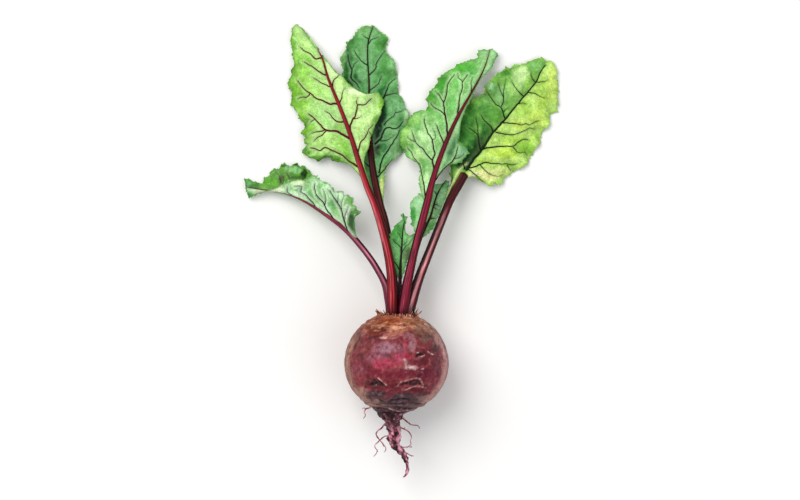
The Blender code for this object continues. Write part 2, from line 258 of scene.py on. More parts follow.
def deselect() -> None:
    """Leaves object mode with nothing selected."""
    if bpy.context.object and bpy.context.object.mode != "OBJECT":
        bpy.ops.object.mode_set(mode="OBJECT")
    bpy.ops.object.select_all(action="DESELECT")


def pick(piece: Piece) -> None:
    """Selects the piece alone and makes it the active one."""
    deselect()
    piece.select_set(True)
    bpy.context.view_layer.objects.active = piece


def points_of(piece: Piece) -> np.ndarray:
    """The piece's vertices as rows of x, y, z in mm."""
    flat = np.empty(len(piece.data.vertices) * 3, np.float32)
    piece.data.vertices.foreach_get("co", flat)
    return flat.reshape(-1, 3).astype(float) / MM


def normals_of(piece: Piece) -> np.ndarray:
    """The direction that each vertex faces."""
    flat = np.empty(len(piece.data.vertices) * 3, np.float32)
    piece.data.vertex_normals.foreach_get("vector", flat)
    return flat.reshape(-1, 3).astype(float)


def move(piece: Piece, points: np.ndarray) -> None:
    """Puts the piece's vertices at these points, in mm."""
    piece.data.vertices.foreach_set("co", (points * MM).astype(np.float32).ravel())
    piece.data.update()


def paint(piece: Piece, name: str, values: np.ndarray) -> None:
    """Writes a colour or a number for each vertex as an attribute that the finish reads.

    Args:
        piece: the mesh to paint.
        name: the attribute's name.
        values: three columns for a colour, or one value for each vertex.
    """
    coloured = values.ndim == 2
    kind = "FLOAT_COLOR" if coloured else "FLOAT"
    old = piece.data.attributes.get(name)
    if old:
        piece.data.attributes.remove(old)
    layer = piece.data.attributes.new(name, kind, "POINT")
    if coloured:
        values = np.column_stack([np.clip(values, 0, 1), np.ones(len(values))])
        layer.data.foreach_set("color", values.astype(np.float32).ravel())
    else:
        layer.data.foreach_set("value", values.astype(np.float32))


def lay_grid(name: str, along: int, across: int, place: Callable) -> Piece:
    """Adds a grid and lays it on a surface.

    Args:
        name: the piece's name.
        along: cells from the surface's start to its end.
        across: cells from side to side, or round it.
        place: gives the points, in mm, for u along (0 to 1) and v across (-1 to 1).

    Returns:
        The new piece, at the origin.
    """
    deselect()
    bpy.ops.mesh.primitive_grid_add(x_subdivisions=along, y_subdivisions=across, size=2)
    piece = bpy.context.object
    piece.name = piece.data.name = name
    start = points_of(piece) * MM
    move(piece, place((start[:, 0] + 1) / 2, -start[:, 1]))
    paint(piece, "across", -start[:, 1])
    return piece


def read_back(piece: Piece, name: str) -> np.ndarray:
    """Reads back the colour or the number that was painted on each vertex."""
    layer = piece.data.attributes[name]
    coloured = layer.data_type == "FLOAT_COLOR"
    flat = np.empty(len(piece.data.vertices) * (4 if coloured else 1), np.float32)
    layer.data.foreach_get("color" if coloured else "value", flat)
    return flat.reshape(-1, 4)[:, :3].astype(float) if coloured else flat.astype(float)


def close_up(piece: Piece) -> None:
    """Welds the seam and the poles of a rolled-up grid, and turns its faces outwards."""
    pick(piece)
    bpy.ops.object.mode_set(mode="EDIT")
    bpy.ops.mesh.select_all(action="SELECT")
    bpy.ops.mesh.remove_doubles(threshold=WELD * MM)
    bpy.ops.mesh.normals_make_consistent(inside=False)
    bpy.ops.object.mode_set(mode="OBJECT")
    bpy.ops.object.shade_smooth()


def apply_all(piece: Piece) -> None:
    """Applies the piece's modifiers in their order."""
    pick(piece)
    for modifier in list(piece.modifiers):
        bpy.ops.object.modifier_apply(modifier=modifier.name)


def tubes(name: str, routes: Sequence[np.ndarray], sides_each_half: int = 2) -> Piece:
    """Round tapering rods with closed ends, as one mesh.

    Args:
        name: the piece's name.
        routes: for each rod, rows of x, y, z and half-width in mm.
        sides_each_half: how fine the rod's round is.

    Returns:
        The new piece, at the origin.
    """
    deselect()
    bpy.ops.curve.primitive_bezier_curve_add(location=(0, 0, 0))
    piece = bpy.context.object
    curve = piece.data
    curve.splines.clear()
    curve.dimensions = "3D"
    curve.bevel_depth = MM
    curve.bevel_resolution = sides_each_half
    curve.use_fill_caps = True
    for route in routes:
        line = curve.splines.new("POLY")
        line.points.add(len(route) - 1)
        placed = np.column_stack([route[:, :3] * MM, np.ones(len(route))])
        line.points.foreach_set("co", placed.ravel())
        line.points.foreach_set("radius", route[:, 3])
    bpy.ops.object.convert(target="MESH")
    piece = bpy.context.object
    piece.name = piece.data.name = name
    close_up(piece)
    return piece


def surface_tree(piece: Piece) -> BVHTree:
    """A search tree over the piece's faces, in mm."""
    polygons = [tuple(p.vertices) for p in piece.data.polygons]
    return BVHTree.FromPolygons([tuple(p) for p in points_of(piece)], polygons)


def drop_on(tree: BVHTree, route: np.ndarray) -> np.ndarray:
    """Drops points straight down onto a surface.

    Args:
        tree: the surface.
        route: rows of x and y in mm.

    Returns:
        Rows of x, y, z where they land, without those that miss.
    """
    hits = [tree.ray_cast(Vector((x, y, OVERHEAD)), DOWN)[0] for x, y in route]
    return np.array([tuple(h) for h in hits if h is not None]).reshape(-1, 3)


def nearest(points: np.ndarray, targets: np.ndarray) -> tuple[np.ndarray, np.ndarray]:
    """Finds the nearest target of each point.

    Args:
        points: rows of x, y, z in mm.
        targets: rows of x, y, z in mm.

    Returns:
        For each point, the nearest target's number and how far it is in mm.
    """
    if not len(targets):
        return np.zeros(len(points), int), np.full(len(points), FAR)
    tree = KDTree(len(targets))
    for index, target in enumerate(targets):
        tree.insert(target, index)
    tree.balance()
    found = [tree.find(p)[1:] for p in points]
    return np.array([f[0] for f in found]), np.array([f[1] for f in found])


def nearness(points: np.ndarray, targets: np.ndarray) -> np.ndarray:
    """How far each point is from the nearest target, in mm."""
    return nearest(points, targets)[1]


def hand_over(piece: Piece, material: bpy.types.Material, slot: str, *nodes: str) -> None:
    """Dresses a finished piece, and gives it its place in the model.

    Args:
        piece: the finished piece.
        material: its finish.
        slot: the record's material slot; not used.
        nodes: the CAD nodes that it stands for.
    """
    piece.data.materials.clear()
    piece.data.materials.append(material)
    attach(piece, BODY)
    if nodes:
        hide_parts(*nodes)
    log.info("%s: %d faces", piece.name, len(piece.data.polygons))


# ---------------------------------------------------------------- finishes


def add_node(tree: bpy.types.NodeTree, kind: str, links: dict | None = None, **settings) -> bpy.types.Node:
    """Adds a shader node with its settings and links.

    Args:
        tree: the material's node tree.
        kind: the node's type.
        links: the input's name or number, and the output socket that feeds it.
        settings: the node's own properties, or its inputs by name with _ for a space.

    Returns:
        The new node.
    """
    node = tree.nodes.new(kind)
    for name, value in settings.items():
        if hasattr(node, name):
            setattr(node, name, value)
        else:
            node.inputs[name.replace("_", " ")].default_value = value
    for name, source in (links or {}).items():
        tree.links.new(source, node.inputs[name])
    return node


def start_material(name: str) -> tuple[bpy.types.Material, bpy.types.NodeTree, bpy.types.Node]:
    """A new material, its node tree and its Principled BSDF."""
    made = bpy.data.materials.new(name)
    made.use_nodes = True
    return made, made.node_tree, made.node_tree.nodes["Principled BSDF"]


def lumps(tree: bpy.types.NodeTree, place: Socket, width_mm: float, **settings) -> Socket:
    """A noise whose lumps are about width_mm wide."""
    scale = 1 / (width_mm * MM)
    node = add_node(tree, "ShaderNodeTexNoise", {"Vector": place}, Scale=scale, **settings)
    return node.outputs["Fac"]


def ranged(tree: bpy.types.NodeTree, value: Socket, low: float, high: float, **settings) -> Socket:
    """Maps a value to the range from low to high."""
    node = add_node(
        tree, "ShaderNodeMapRange", {"Value": value}, To_Min=low, To_Max=high, **settings
    )
    return node.outputs["Result"]


def times(tree: bpy.types.NodeTree, first: Socket, second: Socket) -> Socket:
    """Multiplies two values."""
    node = add_node(tree, "ShaderNodeMath", {0: first, 1: second}, operation="MULTIPLY")
    return node.outputs["Value"]


@dataclass(frozen=True)
class PaintedFinish:
    """A finish that takes its colour from the painted tone and breaks it up at two scales.

    mottle_mm and fine_mm are the widths of the patches and of the grain. stretch draws the grain
    out along a stalk, by the place that each point has along and round it. bump_mm is how deep the
    grain is. rim is how much painted shade darkens the skin where it turns away from the eye, and
    depth how much deeper the painted tones get.
    """

    name: str
    mottle_mm: float
    fine_mm: float
    mottle_dark: float
    fine_dark: float
    roughness: float
    bump_mm: float
    stretch: float = 1.0
    specular: float = 0.5
    rim: float = 0.0
    depth: float = 1.2

    def build(self) -> bpy.types.Material:
        """Makes the material."""
        made, tree, shader = start_material(self.name)
        if self.stretch > 1:
            place = add_node(tree, "ShaderNodeAttribute", attribute_name="lie").outputs["Color"]
        else:
            place = add_node(tree, "ShaderNodeTexCoord").outputs["Object"]
        drawn_out = (1, 1 / self.stretch, 1)
        mapped = add_node(tree, "ShaderNodeMapping", {"Vector": place}, Scale=drawn_out)
        drawn = mapped.outputs["Vector"]
        painted = add_node(tree, "ShaderNodeAttribute", attribute_name="tone").outputs["Color"]
        tone = add_node(tree, "ShaderNodeGamma", {"Color": painted}, Gamma=self.depth).outputs["Color"]
        mottle = lumps(tree, drawn, self.mottle_mm, Detail=4)
        fine = lumps(tree, drawn, self.fine_mm, Detail=5, Roughness=0.6)
        ends = {"From_Min": NOISE_LOW, "From_Max": NOISE_HIGH}
        broad = ranged(tree, mottle, 1 - self.mottle_dark, 1 + self.mottle_dark, **ends)
        small = ranged(tree, fine, 1 - self.fine_dark, 1 + self.fine_dark, **ends)
        both = times(tree, broad, small)
        if self.rim:
            # Painted shade: darkens the surface where it turns away from the eye.
            grazing = add_node(tree, "ShaderNodeLayerWeight", Blend=0.5).outputs["Facing"]
            shade = ranged(tree, grazing, 1.0, 1 - self.rim, From_Min=RIM_SHADE_FROM, From_Max=1.0)
            both = times(tree, both, shade)
        shaded = add_node(tree, "ShaderNodeVectorMath", {0: tone, "Scale": both}, operation="SCALE")
        tree.links.new(shaded.outputs["Vector"], shader.inputs["Base Color"])
        shine = ranged(
            tree, mottle, self.roughness - ROUGHNESS_PLAY, self.roughness + ROUGHNESS_PLAY
        )
        tree.links.new(shine, shader.inputs["Roughness"])
        deep = self.bump_mm * MM
        bump = add_node(tree, "ShaderNodeBump", {"Height": fine}, Distance=deep, Strength=1.0)
        self.extra_bump(tree, drawn, bump.outputs["Normal"], shader)
        shader.inputs["Specular IOR Level"].default_value = self.specular
        return made

    def extra_bump(
        self, tree: bpy.types.NodeTree, place: Socket, bump: Socket, shader: bpy.types.Node
    ) -> None:
        """Ends the bump chain at the shader."""
        tree.links.new(bump, shader.inputs["Normal"])


@dataclass(frozen=True)
class LeafFinish(PaintedFinish):
    """A leaf's finish: the painted one with the net of fine veins between the side veins.

    net_mm is the width of a cell, warp_mm and warp_by_mm how its walls bend, and furrow how wide
    they are.
    """

    net_mm: float = 3.2
    net_depth_mm: float = 0.22
    warp_mm: float = 4.0
    warp_by_mm: float = 3.5
    furrow: float = 0.18

    def extra_bump(
        self, tree: bpy.types.NodeTree, place: Socket, bump: Socket, shader: bpy.types.Node
    ) -> None:
        """Adds the cells of the vein net on top of the grain."""
        scale = 1 / (self.warp_mm * MM)
        warp = add_node(tree, "ShaderNodeTexNoise", {"Vector": place}, Scale=scale, Detail=2)
        shift = add_node(
            tree, "ShaderNodeVectorMath", {0: warp.outputs["Color"]}, operation="MULTIPLY_ADD"
        )
        shift.inputs[1].default_value = (self.warp_by_mm * MM,) * 3
        tree.links.new(place, shift.inputs[2])
        cells = add_node(
            tree, "ShaderNodeTexVoronoi", {"Vector": shift.outputs["Vector"]},
            feature="DISTANCE_TO_EDGE", Scale=1 / (self.net_mm * MM),
        )
        height = add_node(
            tree, "ShaderNodeMapRange", {"Value": cells.outputs["Distance"]}, From_Max=self.furrow
        )
        raised = add_node(
            tree, "ShaderNodeBump", {"Height": height.outputs["Result"], "Normal": bump},
            Distance=self.net_depth_mm * MM, Strength=0.7,
        )
        tree.links.new(raised.outputs["Normal"], shader.inputs["Normal"])


# Fresh beet leaf: a thin waxy skin over watery tissue, satin, quilted by its net of veins.
LEAF_BLADE = LeafFinish("beet_leaf_blade", 5, 1.0, 0.16, 0.27, 0.55, 0.1, specular=0.14)
# A leaf's side vein: watery, crimson in the blade, a little glossier than it.
LEAF_VEIN = PaintedFinish("beet_leaf_vein", 6, 1.0, 0.2, 0.1, 0.5, 0.04, specular=0.12, rim=0.3)
# Beet stalk: a ribbed, juicy, waxy rod, with its strings running along it.
BEET_STALK = PaintedFinish(
    "beet_stalk_skin", 2.2, 0.55, 0.25, 0.3, 0.44, 0.12, stretch=16, specular=0.14, rim=0.6
)
# Beet root skin: thin dry cork over wet flesh, rubbed, with soil stains.
BEET_SKIN = PaintedFinish(
    "beet_root_skin", 3.4, 0.85, 0.26, 0.3, 0.55, 0.18, specular=0.22, rim=0.45, depth=1.12
)
# Root fibre: dry, matt and wrinkled.
ROOT_FIBRE = PaintedFinish(
    "beet_root_fibre", 1.6, 0.6, 0.3, 0.2, 0.75, 0.08, specular=0.15, rim=0.4, depth=1.1
)
# Withered stalk: papery and brown.
DRY_STALK = PaintedFinish("withered_stalk", 1.5, 0.5, 0.3, 0.2, 0.85, 0.1, specular=0.15)


@dataclass(frozen=True)
class PlasterFinish:
    """The floor: smooth white-painted board, matt, with a barely seen unevenness."""

    name: str = "painted_board"
    colour: str = "FBFBFA"
    cloud_scale: float = 9.0
    cloud_dark: float = 0.985

    def build(self) -> bpy.types.Material:
        """Makes the material."""
        made, tree, shader = start_material(self.name)
        place = add_node(tree, "ShaderNodeTexCoord").outputs["Object"]
        cloud = add_node(
            tree, "ShaderNodeTexNoise", {"Vector": place}, Scale=self.cloud_scale, Detail=2
        )
        pale = (*linear(self.colour), 1)
        blend = add_node(tree, "ShaderNodeMix", {"Factor": cloud.outputs["Fac"]}, data_type="RGBA")
        blend.inputs[6].default_value = pale
        blend.inputs[7].default_value = tuple(self.cloud_dark * c for c in pale[:3]) + (1,)
        tree.links.new(blend.outputs[2], shader.inputs["Base Color"])
        shader.inputs["Roughness"].default_value = 0.9
        shader.inputs["Specular IOR Level"].default_value = 0.1
        return made


# ---------------------------------------------------------------- the root


@dataclass
class Root:
    """The bulb with its tap root, its skin's marks and colours."""

    radius: float = 35.3
    middle_y: float = -1.0
    to_top: float = 34.6
    to_bottom: float = 33.5
    axis_height: float = AXIS_HEIGHT
    neck_y: float = -28.0
    rings: int = 250
    round_steps: int = 300
    spine_steps: int = 2000
    # Below the bulb: x, y, height above the bulb's axis, half-width.
    tail: tuple = (
        (-1.0, -31.3, 0, 15.2), (-1.9, -32.4, 0, 13.0), (-2.9, -33.6, 0, 10.9), (-3.8, -35, 0, 8.9),
        (-3.9, -36.8, 0, 7.4), (-3.5, -38.8, 0, 5.5), (-2.9, -41.5, -0.3, 4.5), (-1.8, -45, -0.6, 4.1),
        (-1.6, -48.5, -0.9, 3.9), (-1.6, -52.5, -1.3, 3.9), (-1.0, -55.8, -1.6, 3.2),
        (1.2, -58.8, -2.0, 2.6), (4.2, -61.9, -2.5, 2.0), (6.2, -65.2, -3.2, 1.6),
        (7.1, -68.6, -4.0, 1.25), (7.4, -72, -4.8, 0.95), (7.1, -75.2, -5.6, 0.7),
        (5.9, -77.2, -6.2, 0.5), (4.4, -78.3, -6.6, 0.25),
    )
    # How far below the bulb's middle, and how rough the tap root is there.
    roughness: tuple = ((31, 0.3), (38, 0.85), (48, 0.8), (58, 0.6), (72, 0.34), (79, 0.12))
    # Patches of the skin's colours seen from above; the darker ones towards the lower right are partly
    # painted shade.
    washes: tuple = (
        Wash(0, 29.5, 17, 3.6, "B4684A", 0.85), Wash(-7, 28, 13, 2.6, "A0522A", 0.85),
        Wash(12, 28, 9, 3, "A87454", 0.7), Wash(-12.4, 22.6, 9.6, 2.4, "6E240C", 0.95),
        Wash(-15.6, 20.4, 5, 2.2, "782A12", 0.95), Wash(-18.6, 23.6, 5, 2.2, "7A3018", 0.9),
        Wash(-8, 24.8, 7, 0.7, "DC9C7C", 0.7), Wash(3, 24, 6, 1.0, "DCA48C", 0.8),
        Wash(-1, 21.4, 6, 2.4, "B4745E", 0.85), Wash(-4, 18.6, 7, 1.6, "B87468", 0.85),
        Wash(-8.4, 16.8, 3, 1.0, "DCB0A0", 0.8), Wash(-2.6, 16.6, 3, 1.0, "C48C86", 0.6),
        Wash(-22, 8, 7, 8, "8A4444", 0.6), Wash(-25.4, 17.2, 1.6, 2.6, "42180E", 0.9),
        # The purple-grey patches A47686, B07E86 and A46C74 here and below are a painted highlight: the
        # sheen on the upper middle.
        Wash(-27.4, 13, 1.2, 2.4, "4A2014", 0.85), Wash(-5.6, 10.2, 10, 4.4, "A47686", 0.85),
        Wash(10.4, 11.5, 3, 5, "B07E86", 0.9), Wash(9, 17.6, 4, 2.6, "A46C74", 0.8),
        Wash(6.4, 12.6, 1.4, 3.8, "A63A50", 0.85), Wash(14.4, 21.5, 5, 3.4, "8A6450", 0.75),
        Wash(20, 17, 5, 4, "7A5A50", 0.8), Wash(21.4, 24, 6, 3, "A27E6C", 0.75),
        Wash(25.4, 10.5, 4, 4, "52303A", 0.85), Wash(28, 17, 2.4, 5, "B48A78", 0.6),
        Wash(-14, 3.4, 9, 5.0, "965668", 0.75), Wash(-7, -1.0, 9, 4.2, "B23E58", 0.85),
        Wash(2, 3.6, 6, 3.6, "AE4660", 0.85), Wash(8.6, 4, 3, 2.6, "A62E48", 0.85),
        Wash(17, 0.6, 8, 3, "68182C", 0.9), Wash(10, -6.6, 11, 2.6, "741430", 0.9),
        Wash(-2, -8, 10, 3, "7A1E34", 0.85), Wash(20, -8, 9, 4.6, "6E1230", 0.9),
        Wash(27, -1, 3, 8, "703040", 0.7), Wash(-14, -7, 8, 2.8, "82283A", 0.8),
        Wash(-25, -4, 5, 5, "92485A", 0.6), Wash(-25, -11.6, 3.4, 3.2, "A6464C", 0.75),
        Wash(15.4, -19, 9, 2.2, "6A1024", 0.9), Wash(24, -13, 4, 6, "82283E", 0.75),
        Wash(-13.4, -21, 9, 2.6, "483038", 0.95), Wash(-3.4, -21.4, 3, 1.6, "7A2038", 0.8),
        Wash(5, -22.6, 10, 2.6, "54404A", 0.85), Wash(-1, -27.6, 12, 2.0, "6C5660", 0.7),
        Wash(-14, -27, 7, 2.4, "94706A", 0.85), Wash(20, -24.4, 6, 2.4, "94706E", 0.75),
        Wash(-23, -20, 4, 4, "B08478", 0.8), Wash(10, -3.2, 4.4, 1.6, "D4B2B4", 0.85),
        # The near-black patches 140608, 34161E and 3E101E fill the pit and the two scars: partly their own
        # dark colour, partly painted shade in the hollows.
        Wash(6.4, 0, 1.1, 2.6, "B88890", 0.8), Wash(16, 5.9, 2.4, 1.0, "140608", 1.0),
        Wash(-14, -14.3, 5.2, 1.7, "34161E", 0.95), Wash(10, -13.9, 5.4, 1.1, "3E101E", 0.95),
    )
    marks: tuple = (
        Mark(Relief.GROOVE, ((-21.3, -16.4), (-19.4, -13.4), (-16.5, -12.2), (-13, -11.5), (-10, -14),
             (-7, -16.4)), 0.9),
        Mark(Relief.PIT, ((-18, -15), (-15.5, -13.8), (-12, -13.6), (-9.4, -15.8)), 0.8),
        Mark(Relief.RIDGE, ((-12.4, -10.5), (-10, -12.4), (-6.8, -15.4)), 0.42),
        Mark(Relief.SCUFF, ((-15, -15.6), (-13.8, -15.2)), 0.5),
        Mark(Relief.GROOVE, ((-16, -17.6), (-12, -17.2), (-8, -18.4)), 0.5),
        Mark(Relief.RIDGE, ((0.8, -15.6), (3, -12.9), (7, -12), (11, -10.9), (14.6, -10.4),
             (15.8, -11.4), (18, -15)), 0.42),
        Mark(Relief.PIT, ((3.4, -15), (6, -14), (9, -13.1), (12, -12.4), (14.4, -12.7),
             (16, -14.6)), 1.0),
        Mark(Relief.RIDGE, ((3.4, -17.6), (6, -18.2), (8.4, -17.2), (10.5, -16.2), (13, -15.7),
             (16.6, -16), (20, -17)), 0.34),
        Mark(Relief.PIT, ((13.6, 4.6), (15.4, 5.6), (17, 5.6), (18.6, 6.6)), 0.9),
        # A painted highlight on the pit's upper rim.
        Mark(Relief.RIDGE, ((13.6, 6.6), (15.2, 7.0)), 0.4),
        Mark(Relief.SCUFF, ((15, 3.8), (18.6, 4.8)), 0.4),
        Mark(Relief.RIDGE, ((21, 7.6), (22.6, 6.3), (24.8, 5.4)), 0.35),
        Mark(Relief.SCUFF, ((5.2, 2.4), (6, -0.6), (8, -2.6), (10, -3.6), (13.2, -4.3)), 0.55),
        Mark(Relief.SCUFF, ((8.4, -1.6), (10, -2.8), (12.4, -4.2)), 0.6),
        Mark(Relief.SCUFF, ((16.6, -4.2), (18.2, -4)), 0.4),
        Mark(Relief.PIT, ((-12.5, -31), (-10, -30.9), (-7, -31.9), (-3.4, -32.8)), 1.0),
        Mark(Relief.PIT, ((-5, -29.9), (0, -30.2), (5, -30.9), (9, -31.6)), 0.85),
        Mark(Relief.RIDGE, ((-8, -30.3), (-3, -31.6), (2, -32.2), (6, -32.4)), 0.4),
        Mark(Relief.GROOVE, ((-12, -33.6), (-6, -34), (0, -33.8), (6, -33.6)), 0.8),
        Mark(Relief.PIT, ((-3.4, -25.3), (0, -25.5), (4, -24.4), (6, -24.6), (9.6, -26.4)), 0.7),
        Mark(Relief.GROOVE, ((8, -24.4), (11, -26.4), (12.4, -27.6), (15.4, -28.3)), 0.7),
        Mark(Relief.GROOVE, ((-12, -24.8), (-8, -26.2), (-4, -26.2)), 0.7),
        Mark(Relief.GROOVE, ((-9, -28), (-5, -27.4), (0, -28), (4, -27.4)), 0.6),
        Mark(Relief.GROOVE, ((-11, -26.6), (-7.6, -26.7), (-4, -26.2)), 0.5),
        Mark(Relief.GROOVE, ((-20, 10.5), (-19, 9.4), (-18, 9)), 0.4),
        Mark(Relief.GROOVE, ((16, -22), (20, -21.4), (24, -19.6)), 0.4),
    )

    def spine(self) -> np.ndarray:
        """The rings' middles and half-widths from the crown to the tap root's tip, evenly laid."""
        foot = math.asin((self.neck_y - self.middle_y) / self.to_bottom)
        turn = np.linspace(math.pi / 2, foot, 120)
        y = self.middle_y + np.where(turn > 0, self.to_top, self.to_bottom) * np.sin(turn)
        lean = -0.9 * step(-24, self.neck_y - 3, y)
        bulb = np.column_stack([lean, y, np.zeros(len(turn)), self.radius * np.cos(turn)])
        tail = smooth([tuple(bulb[-1]), *self.tail], 160)
        line = np.vstack([bulb, tail[1:]])
        line[-1, 3] = 0
        even = evenly(line, self.spine_steps, 4)
        even[:, 2] += self.axis_height
        return even

    def shell(self) -> Piece:
        """Rolls a grid up round the spine, whose rings tilt only on the free end of the tap root."""
        spine = self.spine()
        reach = 30
        soft = np.ones(2 * reach + 1) / (2 * reach + 1)
        ways = [np.pad(column, reach, "edge") for column in np.gradient(spine[:, :3], axis=0).T]
        way = unit(np.column_stack([np.convolve(column, soft, "valid") for column in ways]))
        free = 1 - step(-47, -38, spine[:, 1])[:, None]
        out, up = square_to(unit(free * way + (1 - free) * (0, -1, 0)))

        def place(u: np.ndarray, v: np.ndarray) -> np.ndarray:
            """The skin's points, in mm."""
            at = np.clip(np.round(u * (len(spine) - 1)).astype(int), 0, len(spine) - 1)
            turn = v * math.pi
            ring = np.cos(turn)[:, None] * out[at] + np.sin(turn)[:, None] * up[at]
            return spine[at, :3] + spine[at, 3:] * ring

        piece = lay_grid("root_bulb_and_tap_root", self.rings, self.round_steps, place)
        close_up(piece)
        return piece

    def lay_marks(self, piece: Piece, points: np.ndarray) -> tuple[np.ndarray, np.ndarray]:
        """Finds what the marks do to the skin.

        Args:
            piece: the bulb before its relief.
            points: its vertices in mm.

        Returns:
            For each vertex, the height that the marks add in mm, and how pale (or dark) they are painted,
            partly as painted highlight on ridges and painted shade in grooves and pits.
        """
        tree = surface_tree(piece)
        height = np.zeros(len(points))
        pale = np.zeros(len(points))
        ragged = 1 + 0.5 * grain(points, 2.4, 3, 8)
        broken = 0.25 + 0.9 * step(-0.2, 0.35, grain(points, 1.7, 2, 11))
        for mark in self.marks:
            flat = smooth([(x, y, 0) for x, y in mark.route], 40)[:, :2]
            near = nearness(points, drop_on(tree, flat)) * ragged
            share = bell(near, mark.width)
            height += mark.relief.value[0] * share
            share = np.clip(share * broken, 0, 1)
            pale = pale * (1 - share) + mark.relief.value[1] * share
        return height, pale

    def shape(self, piece: Piece) -> np.ndarray:
        """Gives the skin its lumps, rings, knobs and marks.

        Returns:
            How pale each vertex's mark is painted, partly as painted highlight and painted shade.
        """
        points, facing = points_of(piece), normals_of(piece)
        y = points[:, 1]
        marks, pale = self.lay_marks(piece, points)
        tap = 1 - step(-37, -31, y)
        foot = (1 - step(-30, -20, y)) * (1 - tap)
        crown = step(20, 31, y)
        rings = np.sin(y * 1.9 + 2.4 * grain(points, 16, 2, 2))
        height = 0.5 * grain(points, 26, 2, 1) + 0.2 * grain(points, 4, 3, 3)
        height += 0.1 * grain(points, 1.6, 2, 4)
        height += crown * (0.5 * grain(points * (1, 1.8, 1), 3.6, 3, 5) + 0.2 * rings)
        height += foot * (0.4 * rings + 0.45 * grain(points * (1, 2.6, 1), 6, 3, 6))
        knobs = 1.7 * grain(points, 4.2, 3, 7) + 1.1 * grain(points, 1.9, 2, 9)
        folds = 1 - 2.4 * np.abs(grain(points * (0.7, 1.5, 0.7), 4.2, 2, 12))
        width = np.interp(-y, *zip(*self.roughness))
        height += tap * width * (knobs + 0.5 * folds)
        moved = points + facing * (height + marks)[:, None]
        moved[:, 2] = np.maximum(moved[:, 2], 0)
        move(piece, moved)
        paint(piece, "hollow", tap * (knobs + 0.5 * folds))
        return pale

    def colour(self, piece: Piece, pale: np.ndarray) -> None:
        """Paints the skin: corky crown, red middle with painted highlight and shade among its patches,
        grey foot, painted reflected light on its flanks, and pink tap root.
        """
        points = points_of(piece)
        x, y, z = points.T
        blotch = grain(points, 13, 4, 20)
        strokes = grain(points * (0.45, 1.5, 1), 3.4, 4, 23)
        tone = mix(plain("86363F", points), "9A5052", step(0.0, 0.6, blotch) * 0.7)
        tone = mix(tone, "621826", step(0.0, 0.6, -blotch) * 0.7)
        ragged = y + 3.5 * grain(points, 11, 4, 22) + 2 * strokes
        cork = step(19, 24, ragged)
        tone = mix(tone, "A26046", cork * 0.95)
        tone = mix(tone, "5A3E42", (1 - step(-26, -18, ragged)) * 0.85)
        top = step(-10, 8, z - self.axis_height)
        painted = wash_over(points, tone, self.washes, np.zeros(len(points)), 0.42)
        tone = tone + (painted - tone) * top[:, None]
        tone = mix(tone, "6A260E", cork * step(0.12, 0.5, strokes) * 0.65)
        tone = mix(tone, "E0A888", cork * step(0.18, 0.5, -strokes) * 0.7)
        # Painted reflected light along the flanks.
        tone = self.paint_flank_light(points, tone, top)
        tone = self.colour_tap_root(points, tone, read_back(piece, "hollow"))
        fine = grain(points, 2.4, 3, 21)
        tone = mix(tone, "C4A098", step(0.2, 0.7, fine) * 0.2)
        tone = mix(tone, "2A0A14", step(0.1, 0.6, -fine) * 0.5)
        # The marks' colours: pale ridges and scuffs, dark grooves and pits; the ridges' paleness is partly
        # painted highlight, and the darkness of grooves and pits partly painted shade.
        tone = mix(tone, "E4C4BC", np.clip(pale, 0, 1) * 0.85)
        tone = mix(tone, "12060A", np.clip(-pale, 0, 1) * 0.95)
        paint(piece, "tone", tone)

    def paint_flank_light(self, points: np.ndarray, tone: np.ndarray, top: np.ndarray) -> np.ndarray:
        """Lays painted reflected light along the bulb's flanks and round its foot: a pale band, which on
        the right stops short of the very edge.

        Args:
            points: the vertices in mm.
            tone: their colours so far.
            top: 1 where a vertex is on the upper side.

        Returns:
            The new colours.
        """
        x, y, z = points.T
        reach = np.hypot(x / 35.6, (y + 1) / 35.2) + 0.035 * grain(points, 7, 3, 24)
        flank_light = step(0.83, 0.93, reach) * step(-31, -24, y)
        flank_light = flank_light * (1 - step(12, 24, y)) * step(-16, -2, z - self.axis_height)
        band = 0.72 + 0.42 * grain(points * (1, 0.3, 1), 2.2, 3, 25)
        tone = mix(tone, "B08672", flank_light * band * (x < 0))
        tone = mix(tone, "CC9C98", flank_light * band * (x > 0) * (1 - step(0.965, 0.995, reach)))
        low = step(0.84, 0.95, reach) * (1 - step(-22, -12, y)) * step(-32, -28, y)
        return mix(tone, "BE9080", low * top * band)

    def colour_tap_root(self, points: np.ndarray, tone: np.ndarray, hollow: np.ndarray) -> np.ndarray:
        """Paints the tap root pink with slanting dark streaks, painted highlights on its knobs, painted
        shade in its hollows, down its left side and just below the bulb, and dark wrinkles where it
        starts.

        Args:
            points: the vertices in mm.
            tone: their colours so far.
            hollow: how high the knobs stand at each vertex.

        Returns:
            The new colours.
        """
        x, y, z = points.T
        tap = 1 - step(-35, -30.5, y)
        slanted = np.column_stack([1.3 * x + 0.7 * y, 0.5 * y - 0.6 * x, 1.2 * z])
        table = np.array(self.tail)
        middle, width = (np.interp(-y, -table[:, 1], table[:, i]) for i in (0, 3))
        # The streaks lean dark down the left side and pale towards the right: painted shade and painted
        # light.
        streak = grain(slanted, 3.6, 3, 30) - 0.24 * np.clip((x - middle) / width + 0.1, -1, 1)
        tone = mix(tone, "8E4258", tap * 0.95)
        # Painted highlights on the knobs, and painted shade in the hollows below.
        tone = mix(tone, "E0A8B8", tap * step(0.05, 0.4, -streak + 0.12 * hollow) * 0.9)
        tone = mix(tone, "22060E", tap * step(0.08, 0.24, streak - 0.16 * hollow) * 0.96)
